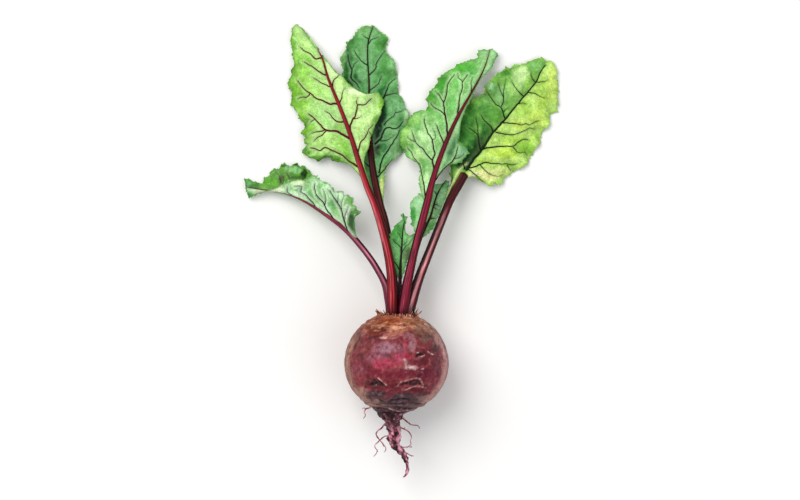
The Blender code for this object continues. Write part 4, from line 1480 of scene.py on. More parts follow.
BACK_CENTRE = Leaf(
    name="back_centre",
    slot="leaf_deep",
    ground="64A25E",
    right_ground="6EAA68",
    look=StalkLook(
        "200810", "5A161E",
        (Stripe(0.3, 0.2, "8A4A40", 0.12, 0.5, 0.8), Stripe(-0.4, 0.14, "7C3438", 0.1, 0.6, 0.7)),
        "1C0E0C", 0.5,
    ),
    side=(0, 0, -1),
    first=5,
    stalk=[
        (-0.8, 33, 30.0, 2.6), (-0.8, 37, 29.8, 2.6), (-2.2, 60, 27.6, 2.6), (-4.5, 78, 23.4, 2.6),
        (-8.0, 96, 18.6, 2.5), (-11.0, 106, 16.0, 2.5), (-14.6, 122, 12.8, 2.4), (-16.6, 134, 11.0, 2.2),
        (-18.0, 152, 9.2, 1.6), (-18.8, 175, 7.4, 0.75), (-18.7, 190, 6.9, 0.55), (-19.6, 205, 6.4, 0.45),
        (-19.3, 217, 5.4, 0.4), (-15.8, 229, 3.4, 0.2),
    ],
    left=[
        (-13.5, 106, 15), (-17.5, 117, 11.5), (-20.5, 127, 9), (-24, 137, 6), (-29, 148, 4),
        (-33.5, 160, 2.6), (-36.5, 173, 2.0), (-38, 186, 2.2), (-37.8, 194, 2.6), (-36.6, 199, 2.4),
        (-38.6, 205, 1.4), (-36.8, 209, 2.0), (-34.9, 212, 2.2), (-34.4, 216, 1.6), (-32.6, 219, 1.8),
        (-30, 220.8, 2.2), (-26.8, 224.6, 2.0), (-24.6, 227.2, 1.8), (-21, 228.4, 1.6), (-18, 228, 1.8),
        (-15.6, 229.4, 2),
    ],
    right=[
        (-8.8, 106, 15), (-8.8, 117, 11.5), (-8.0, 126, 9), (-7.4, 131.6, 7), (-5, 135.6, 5),
        (-1.4, 137.8, 3.6), (2, 141, 2.4), (5.6, 143.6, 1.8), (4.8, 147, 1.8), (6.4, 151.6, 1.6),
        (7.6, 158, 1.6), (8.4, 165.6, 1.5), (7.8, 170, 1.6), (6.2, 173, 1.8), (5.4, 177.6, 1.8),
        (2.4, 182.4, 2), (0.4, 187.4, 2), (0.2, 190.6, 1.8), (1.0, 194.2, 1.6), (-0.4, 200, 1.8),
        (-3, 205.4, 2.2), (-6.8, 210.6, 2.4), (-6.6, 216, 2), (-5.4, 220.4, 1.8), (-8.6, 222.2, 1.8),
        (-12, 225, 2), (-14.4, 227.2, 2), (-15.6, 229.4, 2),
    ],
    veins=[
        Vein([(-18.8, 195), (-15.5, 198), (-14, 200), (-14, 202), (-12, 206), (-8.5, 211)], 0.5),
        Vein([(-18.8, 184), (-14, 187.5), (-12, 190), (-10.5, 194)], 0.45),
        Vein([(-9, 179), (-7, 184), (-5.5, 188), (-4, 190), (-0.6, 193)], 0.55),
        Vein([(-9, 179.6), (-6, 181.5), (-1, 182.7), (2, 182)], 0.5),
        Vein([(-14.6, 148), (-11, 151.6), (-9, 156), (-7.5, 158.5), (-5, 159.2), (-2, 158.3), (1, 159),
              (4.4, 163.4)], 0.8),
        Vein([(-8.5, 161), (-5, 165), (-2, 167), (-0.5, 172)], 0.45),
        Vein([(-0.9, 169.6), (2, 170), (5.6, 171.6)], 0.36),
        Vein([(-12, 128), (-9.6, 138), (-5, 145), (0, 153), (2.5, 158)], 0.7),
        Vein([(-12.5, 125.5), (-8, 131), (-3, 138)], 0.6),
        Vein([(-11, 150), (-7, 150.4), (-2.6, 153.6)], 0.35),
        Vein([(-19.4, 201.5), (-22, 203), (-25, 206), (-28.5, 211.5)], 0.5),
        Vein([(-31, 193), (-30.5, 198.5), (-32.4, 204), (-33, 209)], 0.6),
        Vein([(-30.6, 199), (-28, 203), (-26, 205)], 0.35),
        Vein([(-31, 193), (-28, 190), (-25, 186)], 0.5),
        Vein([(-19.3, 219.6), (-21.4, 221), (-23, 222.4)], 0.35),
        Vein([(-19.3, 216), (-17, 219), (-12.6, 220.8)], 0.42),
        Vein([(-17, 131), (-20, 134), (-22.6, 136.4)], 0.6),
    ],
    washes=[
        # Painted shadow of the tall left leaf: the dark patches 266428 and 1C561F by its edge.
        Wash(-33, 202, 3.4, 11, "266428", 0.95), Wash(-28, 192, 9, 6, "1C561F", 0.95),
        Wash(-22, 188, 3, 5, "4A8C48", 0.8), Wash(-37, 206, 2.6, 7, "94C686", 0.8),
        Wash(-20, 224, 9, 4.5, "86BC74", 0.7), Wash(-9, 217, 5, 8, "569A48", 0.75),
        Wash(-23, 210, 5, 9, "7CB274", 0.6), Wash(-23, 196, 4, 8, "86BC84", 0.6),
        Wash(-2, 200, 4, 10, "8CC080", 0.7), Wash(-9, 193, 7, 8, "4F9348", 0.7),
        # Painted shadow under the tall left leaf: the near-black patches from 246C30 to 1A1410 down the
        # midrib.
        Wash(-9, 205, 4, 6, "569848", 0.6), Wash(-9, 183, 4, 5, "246C30", 0.9),
        Wash(-9, 172, 3.4, 10, "124E24", 0.98), Wash(-10.8, 165, 3.6, 10, "0C381C", 0.98),
        Wash(-13.6, 155, 5.4, 10, "0A2414", 0.98), Wash(-16.4, 145, 6, 9, "1A1410", 0.98),
        Wash(-7, 146, 3.4, 8, "40804A", 0.8), Wash(0, 173, 7, 9, "80B67E", 0.7),
        Wash(7, 166, 2.6, 7, "B8DAA8", 0.8), Wash(1, 150, 7, 8, "6A9C6A", 0.7),
        Wash(-1, 141, 6, 3.4, "A2C49C", 0.8), Wash(-9.5, 117, 1.6, 13, "CFE08C", 0.95),
        Wash(-8, 128, 2, 6, "AACE74", 0.9), Wash(-15, 122, 4, 14, "5A7A38", 0.8, L),
        Wash(3, 147, 3, 4, "6E9A66", 0.7), Wash(-1, 152, 6, 9, "88B87E", 0.85),
        Wash(-4, 163, 3, 6, "7CB076", 0.7),
    ],
    edge="86BC74",
    vein_colour="16281A",
    vein_end="2A4A2A",
    vein_highlight="9CD09A",
    vein_highlight_strength=0.4,
    ruffle=1.4,
    arch=1.2,
)

DROOPING_LEFT = Leaf(
    name="drooping_left",
    slot="leaf_underside",
    ground="9CD08E",
    right_ground="74B24A",
    look=StalkLook(
        "4A1828", "8E3652",
        # The pale pink stripe D898AA is a painted highlight, and the dark stripe 360A1E along the right
        # side painted shade.
        (Stripe(0.8, 0.24, "360A1E", 0.0, 0.6), Stripe(0.06, 0.28, "D898AA", 0.04, 0.42, 0.8),
         Stripe(-0.6, 0.14, "7A3A58", 0.0, 0.4)),
        "6A4A3A", 0.5,
    ),
    side=(0.5, 0.8, 0.33),
    first=5,
    stalk=[
        (-4.6, 33, 34.8, 2.3), (-4.7, 37, 34.9, 2.3), (-5.6, 43, 35.0, 2.3), (-8.4, 54, 34.2, 2.2),
        (-17.0, 69, 31.0, 2.1), (-28, 83, 26.6, 2.0), (-36, 91, 23.4, 1.9), (-45, 97.8, 20.0, 1.6),
        (-55, 104.6, 16.6, 1.25), (-65, 110.4, 13.4, 0.95), (-75, 114.2, 10.4, 0.7), (-85, 116, 7.8, 0.5),
        (-93, 117.2, 6.0, 0.35), (-103, 118.8, 4, 0.2),
    ],
    left=[
        (-26.6, 84.4, 28), (-28.2, 88, 29.6), (-29, 93, 30), (-29, 97.6, 30), (-27.6, 100, 29.6),
        (-24.6, 101, 29), (-25.4, 102.8, 28.8), (-28.4, 105.4, 28.2), (-30.8, 107.4, 27.6),
        (-30.4, 110.6, 27), (-32, 113.4, 26.2), (-35, 113.8, 25.4), (-37, 115.2, 25),
        (-41.6, 115.6, 23.8), (-43.2, 118.4, 23), (-45.4, 121.2, 22.2), (-48.4, 121.2, 21.2),
        (-51, 123, 20.4), (-54, 124.8, 19.6), (-57, 126.6, 18.6), (-60, 125, 17.6), (-62.4, 123.6, 16.8),
        (-66, 123.2, 15.6), (-70, 122.8, 14.4), (-74, 121.8, 13), (-77.6, 120.8, 12), (-81, 118.8, 11),
        (-85, 117.4, 9.6), (-90, 115.4, 8), (-95, 113.6, 6.4), (-99, 112, 5), (-100.8, 111.4, 4.4),
        (-102.2, 114.6, 4), (-103, 118.8, 4),
    ],
    right=[
        (-29.5, 85.5, 22), (-34, 97, 15), (-38, 106, 9), (-44, 114, 4.5), (-52, 121, 2.6),
        (-59, 127, 1.8), (-61.8, 131.6, 1.4), (-63.4, 134.4, 1.2), (-66, 133, 1.4), (-68.2, 135.2, 1.2),
        (-70, 134.2, 1.4), (-71.6, 132.4, 2.0), (-75, 134, 1.2), (-79, 133.2, 1.2), (-80.4, 131.2, 1.6),
        (-84, 131.2, 1.2), (-86.8, 129, 1.2), (-87.2, 127, 1.4), (-90.4, 125.2, 1.4), (-90.6, 122.6, 1.8),
        (-93.6, 121, 2.4), (-98, 122.2, 3), (-103.4, 124.4, 3), (-102.8, 121.6, 3.4), (-103, 118.8, 4),
    ],
    veins=[
        Vein([(-32.2, 86.6), (-34, 92), (-36, 98), (-37.5, 104), (-41, 109.5), (-43.5, 113.5),
              (-45.6, 117)], 0.6),
        Vein([(-37, 103.6), (-36.8, 109), (-35.2, 112.6)], 0.35),
        Vein([(-35, 97), (-34.5, 100), (-32.4, 105)], 0.35),
        Vein([(-39.6, 108), (-39.4, 112), (-39.2, 114.2)], 0.3),
        Vein([(-39.6, 94), (-44, 99), (-47, 103), (-50, 108.5), (-54, 113), (-55.4, 117),
              (-55.6, 121)], 0.6),
        Vein([(-48.6, 106.6), (-47.9, 112), (-49.6, 117)], 0.38),
        Vein([(-53.6, 103.8), (-59, 110.5), (-62, 113.5), (-64.8, 115.4), (-64.4, 119),
              (-68.6, 119.4)], 0.45),
        Vein([(-70, 112.4), (-73.6, 115), (-74, 119)], 0.4),
        Vein([(-73, 124.6), (-74.6, 128), (-73.8, 131.6)], 0.24),
        Vein([(-79, 122.6), (-79.6, 126), (-82.4, 129.4)], 0.24),
    ],
    washes=[
        # Painted shade: the near-black strip 1E4A1A where the edge curls under.
        Wash(-33.4, 101, 2.4, 7, "E2F2DC", 0.85, L), Wash(-30.4, 92, 3.6, 13, "1E4A1A", 1.0, L),
        Wash(-27, 102.6, 3.4, 3, "4E7E30", 0.9, L), Wash(-31.4, 109, 2.6, 5, "7EBA5C", 0.8, L),
        Wash(-42, 110, 3.4, 7, "62A264", 0.85, L), Wash(-40, 93, 5, 4, "5EA470", 0.85, L),
        Wash(-48, 102, 4, 5, "AEE2BC", 0.7, L), Wash(-52, 117, 3, 6, "7CB878", 0.7, L),
        Wash(-57, 122, 4, 4, "A6D49C", 0.7, L), Wash(-36.6, 104, 1.4, 8, "D0ECCC", 0.7, L),
        Wash(-46, 118, 2.6, 3, "D6EED0", 0.7, L), Wash(-66, 121.4, 6, 2, "EAF4CC", 0.9, L),
        Wash(-59, 112, 3, 5, "74B074", 0.7, L), Wash(-63, 117, 3, 4, "B4E0B0", 0.6, L),
        Wash(-70, 113.4, 7, 2, "D6F0CC", 0.85, L), Wash(-75, 118, 3, 3, "78B06C", 0.7, L),
        Wash(-81, 117.6, 5, 2.2, "E4E8C0", 0.9, L), Wash(-88, 116.4, 6, 2.4, "C8BE98", 0.95, L),
        Wash(-94, 114.6, 4, 2, "A49C74", 0.9, L), Wash(-100, 115, 3, 4, "4E9A44", 0.98),
        Wash(-37, 114.4, 6, 1.4, "CBE6C4", 0.7, L), Wash(-51, 122.6, 5, 1.6, "B8DCB0", 0.7, L),
        # Painted shadow: the near-black patch 1E4212 in the notch where the back half meets the front.
        Wash(-66, 116, 1.2, 5, "5E9A60", 0.7, L), Wash(-63, 128, 2.6, 5, "1E4212", 0.98, R),
        Wash(-72, 128, 4, 5, "6CA450", 0.8, R), Wash(-80, 127, 6, 4, "78B258", 0.85, R),
        Wash(-78.6, 124, 3, 4, "4A5426", 0.9, R), Wash(-67.4, 130.4, 4, 2.6, "A0D496", 0.9, R),
        Wash(-86, 127, 3.4, 2.6, "86C05A", 0.8, R), Wash(-69, 134.2, 3, 0.9, "1A4216", 0.98, R),
        Wash(-76, 133, 4, 0.9, "1E4A18", 0.98, R), Wash(-73, 131, 3, 2, "8CC078", 0.8, R),
        Wash(-101, 121, 3, 3.4, "7CC084", 0.8), Wash(-97, 119, 4, 2.4, "3C7A2A", 0.9, R),
        Wash(-68, 125, 5, 1.4, "4C6E3C", 0.8, R),
    ],
    edge="5A9048",
    vein_colour="281A18",
    vein_end="3E5238",
    vein_highlight="E0F4DC",
    vein_highlight_strength=0.6,
    right_vein_highlight=0.15,
    ruffle=1.5,
    arch=-0.8,
    tooth=1.3,
    pale_below=0.12,
    flare=0.2,
)

UPRIGHT_RIGHT = Leaf(
    name="upright_right",
    slot="leaf_bright",
    ground="7EB86A",
    look=StalkLook(
        "42081A", "800E32",
        # The pale pink stripes C44E74 and D0708E are painted highlights, and the dark stripe 3E0818 along
        # the left side painted shade.
        (Stripe(-0.42, 0.12, "C44E74", 0.0, 0.42, 0.75), Stripe(-0.08, 0.08, "D0708E", 0.0, 0.3, 0.6),
         Stripe(0.3, 0.12, "A82448", 0.08, 0.55, 0.7), Stripe(-0.8, 0.2, "3E0818", 0.0, 1.0, 0.85)),
        "56101E", 0.6,
    ),
    side=(0, 0, -1),
    first=5,
    stalk=[
        (4.4, 33.1, 40.2, 3.2), (4.5, 37, 40.5, 3.2), (7.8, 56, 40.0, 3.1), (13.0, 79, 36.0, 2.6),
        (17.6, 96, 32.4, 2.6), (21.0, 109, 29.6, 2.5), (25.0, 125, 26.4, 1.9), (32.0, 145, 22.4, 1.5),
        (41.0, 165, 18.2, 1.15), (52.3, 185, 13.8, 0.6), (57.7, 195, 11.4, 0.45), (61, 203, 9.4, 0.35),
        (64, 213, 6, 0.2),
    ],
    left=[
        (18.6, 109, 28), (17, 115, 25), (15.7, 122, 22), (15.5, 130, 18.5), (14.6, 134.8, 15.6),
        (11.6, 136.8, 13.4), (8.4, 138.6, 11.4), (6, 140.8, 10), (6, 143, 9), (3.4, 146, 7.8),
        (2, 149.4, 7.2), (2.4, 153.4, 6.8), (4.6, 158, 6.4), (7.4, 163, 6), (10.4, 167, 5.6),
        (14, 169, 5.4), (19.4, 169.6, 5.2), (20.2, 172, 5.2), (20.2, 176, 4.8), (19.6, 178.6, 4.6),
        (21.6, 181, 4.6), (24.4, 184.6, 4.4), (27, 187.4, 4.2), (27.6, 190.6, 4), (30.6, 194.4, 4.2),
        (34.6, 197, 4.6), (39, 199.2, 5), (42, 202.2, 5.2), (46, 203.2, 5.6), (51, 205, 6),
        (55, 207, 6.2), (55.2, 209.4, 6), (58, 211.8, 6), (62, 211.6, 6), (64, 213, 6),
    ],
    right=[
        (23.8, 109, 28), (25.2, 117, 26.5), (27.4, 124, 24.8), (31, 129.2, 22.6), (34.2, 132.4, 21.2),
        (37.6, 134, 20), (41, 134.6, 18.8), (45.6, 137.4, 17.4), (49.2, 142, 16.4), (46.6, 146.6, 16.2),
        (42.6, 148.6, 16.6), (42.6, 153.4, 16.6), (42.8, 159, 16.2), (44.2, 165, 15.4),
        (46.6, 171.4, 14.6), (50, 178, 13.4), (54.2, 186, 11.8), (58.4, 193.2, 10.2), (61, 196.2, 9.2),
        (64.6, 199.8, 8), (66.2, 204, 7.2), (68.8, 208.6, 6.4), (66.8, 212, 6), (64, 213, 6),
    ],
    veins=[
        Vein([(25, 124), (25.3, 133), (24.8, 136.5), (26, 141), (25, 147), (24.3, 151.5), (21.5, 155),
              (20, 159), (19, 163), (19.5, 165.5)], 0.75),
        Vein([(24.8, 136.5), (21.5, 140), (18, 144.5), (14, 148), (12, 152), (11, 157)], 0.55),
        Vein([(13, 149.5), (10, 150.5), (8, 152.5)], 0.36),
        Vein([(24.5, 150.6), (26.5, 151.6), (26.2, 155), (25, 158)], 0.36),
        Vein([(32.6, 147), (31, 151.5), (29, 156), (27, 161.5)], 0.6),
        Vein([(34.2, 150), (34.5, 160), (33.3, 166), (32.8, 172), (32.3, 176), (34.3, 182), (35, 188),
              (36.5, 191), (39.5, 194.5)], 0.75),
        Vein([(33, 167), (30.5, 170), (27.5, 171.7), (25, 173.5), (23.5, 176)], 0.5),
        Vein([(32.5, 176), (30, 180), (27, 183.5)], 0.42),
        Vein([(41.2, 165), (42.3, 173), (43.5, 181), (45, 186), (45, 190), (48.5, 194.5)], 0.65),
        Vein([(45, 190.5), (42.5, 193), (42, 195.5)], 0.36),
        Vein([(51, 183), (51, 189), (52, 193)], 0.36),
        Vein([(19.6, 110), (19, 119), (17.5, 127), (16, 133.5), (12.5, 138), (10, 142.5),
              (7.5, 145.5)], 0.6),
        Vein([(26.2, 123), (31, 130), (36, 134.5), (38.5, 137), (40.5, 142), (41.5, 146)], 0.7),
        Vein([(38.6, 137.6), (42, 138.4), (45.6, 141)], 0.3),
    ],
    washes=[
        Wash(6, 152, 6, 9, "9ED072", 0.85), Wash(20, 150, 8, 12, "B2DA9A", 0.85),
        Wash(20.5, 120, 4, 12, "BEEAA8", 0.85), Wash(30, 188, 9, 6, "50A43A", 0.9),
        Wash(45, 200, 11, 3.6, "58AE3C", 0.9), Wash(25, 182, 4, 5, "3E962E", 0.8),
        Wash(40, 184, 6, 12, "9EDA88", 0.7), Wash(52, 195, 5, 8, "5CAA50", 0.8),
        Wash(58.6, 203, 2.2, 5, "4A963E", 0.85), Wash(41, 189, 2.4, 8, "66B054", 0.7),
        # Painted shade: the dark patch 4E7E52 right of the midrib.
        Wash(62, 208, 6, 5, "8ABE7E", 0.85), Wash(36, 150, 5, 12, "4E7E52", 0.95, R),
        Wash(40, 168, 3, 10, "6AA05C", 0.7, R), Wash(45, 142, 4, 4, "82B48A", 0.85, R),
        Wash(42, 139, 4, 2, "2C6E40", 0.85, R), Wash(33, 170, 5, 12, "84C074", 0.6),
        Wash(12, 165, 8, 4.6, "A8DA80", 0.7), Wash(22, 177, 3.6, 8, "68B440", 0.8),
        Wash(38, 160, 3, 8, "7BB468", 0.6), Wash(24, 164, 6, 5, "9CD084", 0.6),
        Wash(38, 175, 2.6, 9, "6CB45E", 0.7), Wash(28, 156, 3, 8, "7CC068", 0.6),
        Wash(14, 140, 6, 4, "BADE98", 0.7), Wash(58, 200, 3, 8, "96CC80", 0.6),
    ],
    edge="68A848",
    vein_colour="380C14",
    vein_end="42201C",
    vein_highlight="C8EEB8",
    vein_highlight_strength=0.5,
    ruffle=1.5,
    right_ground="7FB478",
    flare=0.14,
)

BROAD_RIGHT = Leaf(
    name="broad_right",
    slot="leaf_bright",
    # The halves differ by light: the darker ground on the left is painted shade, and the paler
    # right_ground painted light.
    ground="80B85C",
    right_ground="BCDE7E",
    look=StalkLook(
        "300610", "5E0E1E",
        # The pale pink stripe ECB0B4 and the golden DCB468 near the end are painted highlights; the dark
        # stripe 2E0510 down the left side and the broad 561226 over the foot are painted shade.
        (Stripe(-0.62, 0.4, "2E0510", 0.0, 1.0, 0.95), Stripe(0.08, 0.32, "ECB0B4", 0.0, 0.7, 0.95),
         Stripe(0.56, 0.12, "8A2438", 0.0, 0.8, 0.8), Stripe(-0.8, 0.24, "DCB468", 0.9, 1.1),
         Stripe(0.0, 1.6, "561226", -0.2, 0.06, 0.7)),
        "4A0810", 0.62,
    ),
    side=(0, 0, -1),
    first=5,
    stalk=[
        (8.8, 33, 35.4, 3.1), (9.1, 36.5, 35.4, 3.1), (14.6, 55, 33.8, 3.2), (23.2, 77, 28.6, 2.9),
        (32, 99, 22.4, 2.8), (36.6, 110, 19.6, 2.8), (41.6, 119, 17.4, 2.9), (46.8, 128.4, 15.6, 3.0),
        (52, 136.2, 13.6, 0.6), (57.6, 143.8, 11.8, 0.3), (66, 156, 9.6, 0.3), (75, 166.5, 8.0, 0.3),
        (84, 177, 6.6, 0.3), (92, 186.8, 5.4, 0.3), (97.6, 195, 4.4, 0.3), (102, 204.4, 3.4, 0.3),
    ],
    left=[
        (33.6, 110, 15.4), (35.6, 115, 14), (37.6, 123, 12), (37.8, 130, 10.8), (36.6, 135, 10),
        (35.6, 143, 8.6), (36.4, 153, 6.9), (39.5, 162, 5.7), (44.5, 170, 4.8), (50, 175.6, 4.2),
        (54, 179.4, 3.8), (59, 182.8, 3.4), (60.4, 186, 3.2), (61, 189, 3), (64.4, 190.6, 2.8),
        (66.6, 194, 2.6), (70, 197, 2.2), (74.4, 199.4, 1.8), (77.4, 200, 1.8), (80, 201.8, 1.6),
        (84.6, 202, 1.6), (88.6, 203.8, 1.6), (92.4, 205.2, 2), (96, 206.4, 2.2), (99.4, 206.8, 2.4),
        (102, 204.4, 2.8),
    ],
    right=[
        (38.4, 110, 15.4), (42, 116.6, 13.8), (45.8, 124, 12.6), (49.4, 127.8, 11.8), (53.6, 126.2, 10.6),
        (57, 123.4, 9), (60.6, 120.8, 7), (63.6, 119.4, 5.4), (66.6, 121.8, 4.2), (69.6, 120.6, 3.2),
        (73, 124, 2.6), (77.4, 127.4, 2), (82.4, 131, 1.4), (86, 133, 1.5), (88.8, 135, 1.7),
        (92, 139.6, 1.5), (94, 143.4, 1.3), (97.6, 148.4, 1.5), (98, 152, 1.5), (100, 158.2, 1.3),
        (103, 158.8, 1.2), (104.2, 163, 1.5), (104.8, 167.8, 1.6), (109, 170, 1.4), (109.4, 176, 1.3),
        (110.4, 184, 1.6), (110.2, 192, 1.6), (109, 198.6, 1.6), (107, 203, 1.8), (104.4, 204.8, 2.2),
        (102, 204.4, 2.8),
    ],
    veins=[
        Vein([(47.4, 129.8), (52, 136.6), (57.5, 143.5), (66, 156), (74.5, 165.5), (87, 180.5),
              (95, 190), (98, 197), (101.5, 202)], 1.0),
        Vein([(57.2, 144), (56, 149), (55.5, 154), (52, 157), (49, 159)], 0.6),
        Vein([(55.5, 154), (55.3, 160), (54, 166)], 0.4),
        Vein([(65.7, 156.5), (64, 160), (60, 164), (57, 168)], 0.5),
        Vein([(74, 165), (72.5, 169.5), (71, 173), (67.5, 175), (64, 180), (61.5, 184)], 0.55),
        Vein([(71.5, 173.5), (73, 178), (71, 184), (69.5, 189)], 0.42),
        Vein([(73, 178), (73, 184), (74.6, 192)], 0.36),
        Vein([(73, 170), (76, 172.5)], 0.34),
        Vein([(86.5, 180.5), (83, 184), (80.5, 187), (78.5, 191)], 0.48),
        Vein([(94.5, 190), (92.5, 193), (91.5, 196.5)], 0.44),
        Vein([(48.4, 131), (56.5, 134), (60, 135.5), (65, 134.8), (70, 134.5), (75, 134.8), (79, 134),
              (82.5, 135)], 0.6),
        Vein([(56.5, 134), (60, 130), (65, 127), (69, 126), (72, 127.3)], 0.42),
        Vein([(75.5, 134), (77.5, 130.5), (79, 130)], 0.38),
        Vein([(58, 144.5), (63, 145.5), (68, 146), (73, 146.5), (79, 146.5), (83, 149.5), (87, 151.3),
              (90, 150.8)], 0.68),
        Vein([(79.5, 145.8), (83, 142), (87, 142.5), (89, 140.8)], 0.42),
        Vein([(67.4, 156), (70, 155.5), (74, 154.5), (80, 154.5), (86, 156.5), (91, 159),
              (94, 158.3)], 0.5),
        Vein([(72.4, 162.5), (80, 162), (85, 161), (88, 162), (90.5, 161), (94, 163), (98, 164)], 0.5),
        Vein([(83, 175.4), (86, 176), (88.6, 175)], 0.36),
        Vein([(90, 183.3), (95, 182), (100, 179.5), (102, 180)], 0.44),
        Vein([(95, 190), (100, 190.5), (103, 191.5)], 0.4),
        Vein([(49, 130.4), (54, 127), (57, 124), (60, 122)], 0.5),
        Vein([(46.6, 130.6), (45.4, 134.6)], 0.7),
    ],
    washes=[
        # Painted shade over the lower left half: the dark patches from 488A3A to 0E4420 on this line and
        # the next three.
        Wash(48, 160, 9, 16, "488A3A", 0.95, L), Wash(58, 168, 9, 9, "569642", 0.85, L),
        Wash(57, 150, 8, 8, "2F7028", 0.95, L), Wash(43, 138, 7, 8, "14502C", 0.98, L),
        Wash(52, 140, 6, 6, "104A1A", 0.98, L), Wash(62, 158, 5, 6, "27682A", 0.8, L),
        Wash(50, 134, 5, 6, "0C4424", 0.98, L), Wash(56, 145, 4, 8, "0E4420", 0.95, L),
        Wash(69, 168, 6, 7, "5E9C42", 0.8, L), Wash(66, 183, 8, 9, "74A862", 0.9, L),
        Wash(72, 180, 4, 8, "8CBE7C", 0.7, L), Wash(84, 194, 6, 9, "C4E4A0", 0.95, L),
        Wash(80, 186, 5, 6, "A8D480", 0.8, L), Wash(97, 202, 6, 5, "84BE6C", 0.9),
        Wash(90, 188, 4, 6, "9CCC60", 0.7, L), Wash(64, 188, 2.6, 3, "A8D2A8", 0.8, L),
        Wash(73, 196, 6, 2.6, "5E9E4A", 0.8, L), Wash(106, 188, 4, 13, "CCE278", 0.8, R),
        Wash(100, 184, 6, 9, "AAD05C", 0.6, R), Wash(96, 166, 9, 6, "C2DE68", 0.7, R),
        Wash(88, 172, 6, 5, "A6D058", 0.7, R), Wash(72, 142, 12, 4, "BEDE56", 0.8, R),
        # Painted light on the right half: the near-white patch EAEEA8 here and F2F2C4 below.
        Wash(60, 136, 8, 3, "B8DC5C", 0.7, R), Wash(62, 127, 9, 5, "EAEEA8", 0.85, R),
        Wash(72, 130, 6, 3.4, "DCEC98", 0.8, R), Wash(88, 146, 8, 6, "8CC242", 0.8, R),
        Wash(94, 152, 4, 4, "B2DA68", 0.6, R), Wash(78, 151, 9, 3.4, "B8DE60", 0.7, R),
        Wash(84, 161, 8, 3.4, "CCE470", 0.7, R), Wash(100, 176, 6, 5, "B8DA60", 0.6, R),
        Wash(76, 134, 6, 2, "A4D04C", 0.6, R), Wash(53, 127.6, 4, 1.6, "F2F2C4", 0.9, R),
        # Painted shade: a dark strip along the left edge beside the stalk.
        Wash(37.4, 121, 1.5, 12, "1E4A22", 0.98, L),
    ],
    # The pale rim is a painted highlight.
    edge="9CCB50",
    vein_colour="142C12",
    vein_end="2C5422",
    vein_highlight="CCE888",
    vein_highlight_strength=0.1,
    rod_points=8,
    ruffle=1.1,
    arch=1.4,
    collar="DCE6A4",
    flare=0.16,
)

YOUNG_CENTRE = Leaf(
    name="young_centre",
    slot="leaf_deep",
    ground="7CBE72",
    look=StalkLook("1C060E", "38101C", (Stripe(-0.2, 0.2, "6A3444", 0.0, 0.4, 0.7),), "1C221A", 0.4),
    side=(0, 0, -1),
    first=3,
    stalk=[
        (1.3, 33, 35.5, 1.6), (1.4, 37, 35.3, 1.6), (2.0, 46, 34.6, 1.5), (2.4, 56, 33.0, 1.2),
        (2.9, 68, 31.0, 0.8), (3.6, 78, 29.2, 0.6), (4.2, 88, 27.2, 0.45), (5.2, 95, 25.4, 0.3),
        (4.6, 101, 23.4, 0.2),
    ],
    left=[
        (1.2, 56, 32.4), (-0.4, 62, 31.8), (-2.6, 67.5, 31), (-4, 73, 30.4), (-4.9, 80, 29.4),
        (-4.2, 87, 28.6), (-1.2, 92.4, 27.6), (2.2, 95, 26.2), (4.2, 96.4, 25.2), (3.2, 99.2, 23.8),
        (4.6, 101, 23.2),
    ],
    right=[
        (3.8, 56, 32.4), (5.2, 61, 31.8), (7.6, 68, 30.8), (9.8, 75, 29.8), (12, 81, 28.8),
        (13, 86.4, 27.8), (9.5, 85.4, 27.4), (6.8, 87.2, 27), (5.9, 91, 26), (6.8, 95, 24.8),
        (7.4, 98.2, 23.8), (5.8, 99, 23.4), (4.6, 101, 23.2),
    ],
    veins=[
        Vein([(3.2, 74), (2.5, 78), (-0.5, 80.5), (-2, 83)], 0.45),
        Vein([(2.2, 62), (0, 66), (-2.5, 70), (-4.4, 78)], 0.45),
        Vein([(3.4, 73), (6, 78), (8.5, 80), (12, 85)], 0.35),
        Vein([(3.8, 82), (1.6, 86.6), (0.8, 87)], 0.35),
        Vein([(4.4, 79), (7, 81.6), (7.6, 84)], 0.3),
    ],
    washes=[
        Wash(0, 88, 4, 6, "46983C", 0.85), Wash(-2, 75, 2.6, 8, "7EB67A", 0.7),
        Wash(9, 82, 4, 3, "AAD49C", 0.85), Wash(7, 71, 3, 8, "6A7A56", 0.9),
        Wash(5, 97, 3, 4, "74B870", 0.7), Wash(-1, 82, 2, 3, "3A9434", 0.8),
    ],
    edge="5A9A4C",
    vein_colour="1E2A18",
    vein_end="2E4A26",
    vein_highlight="8CC48C",
    ruffle=0.7,
    arch=0.8,
    pucker=0.5,
)

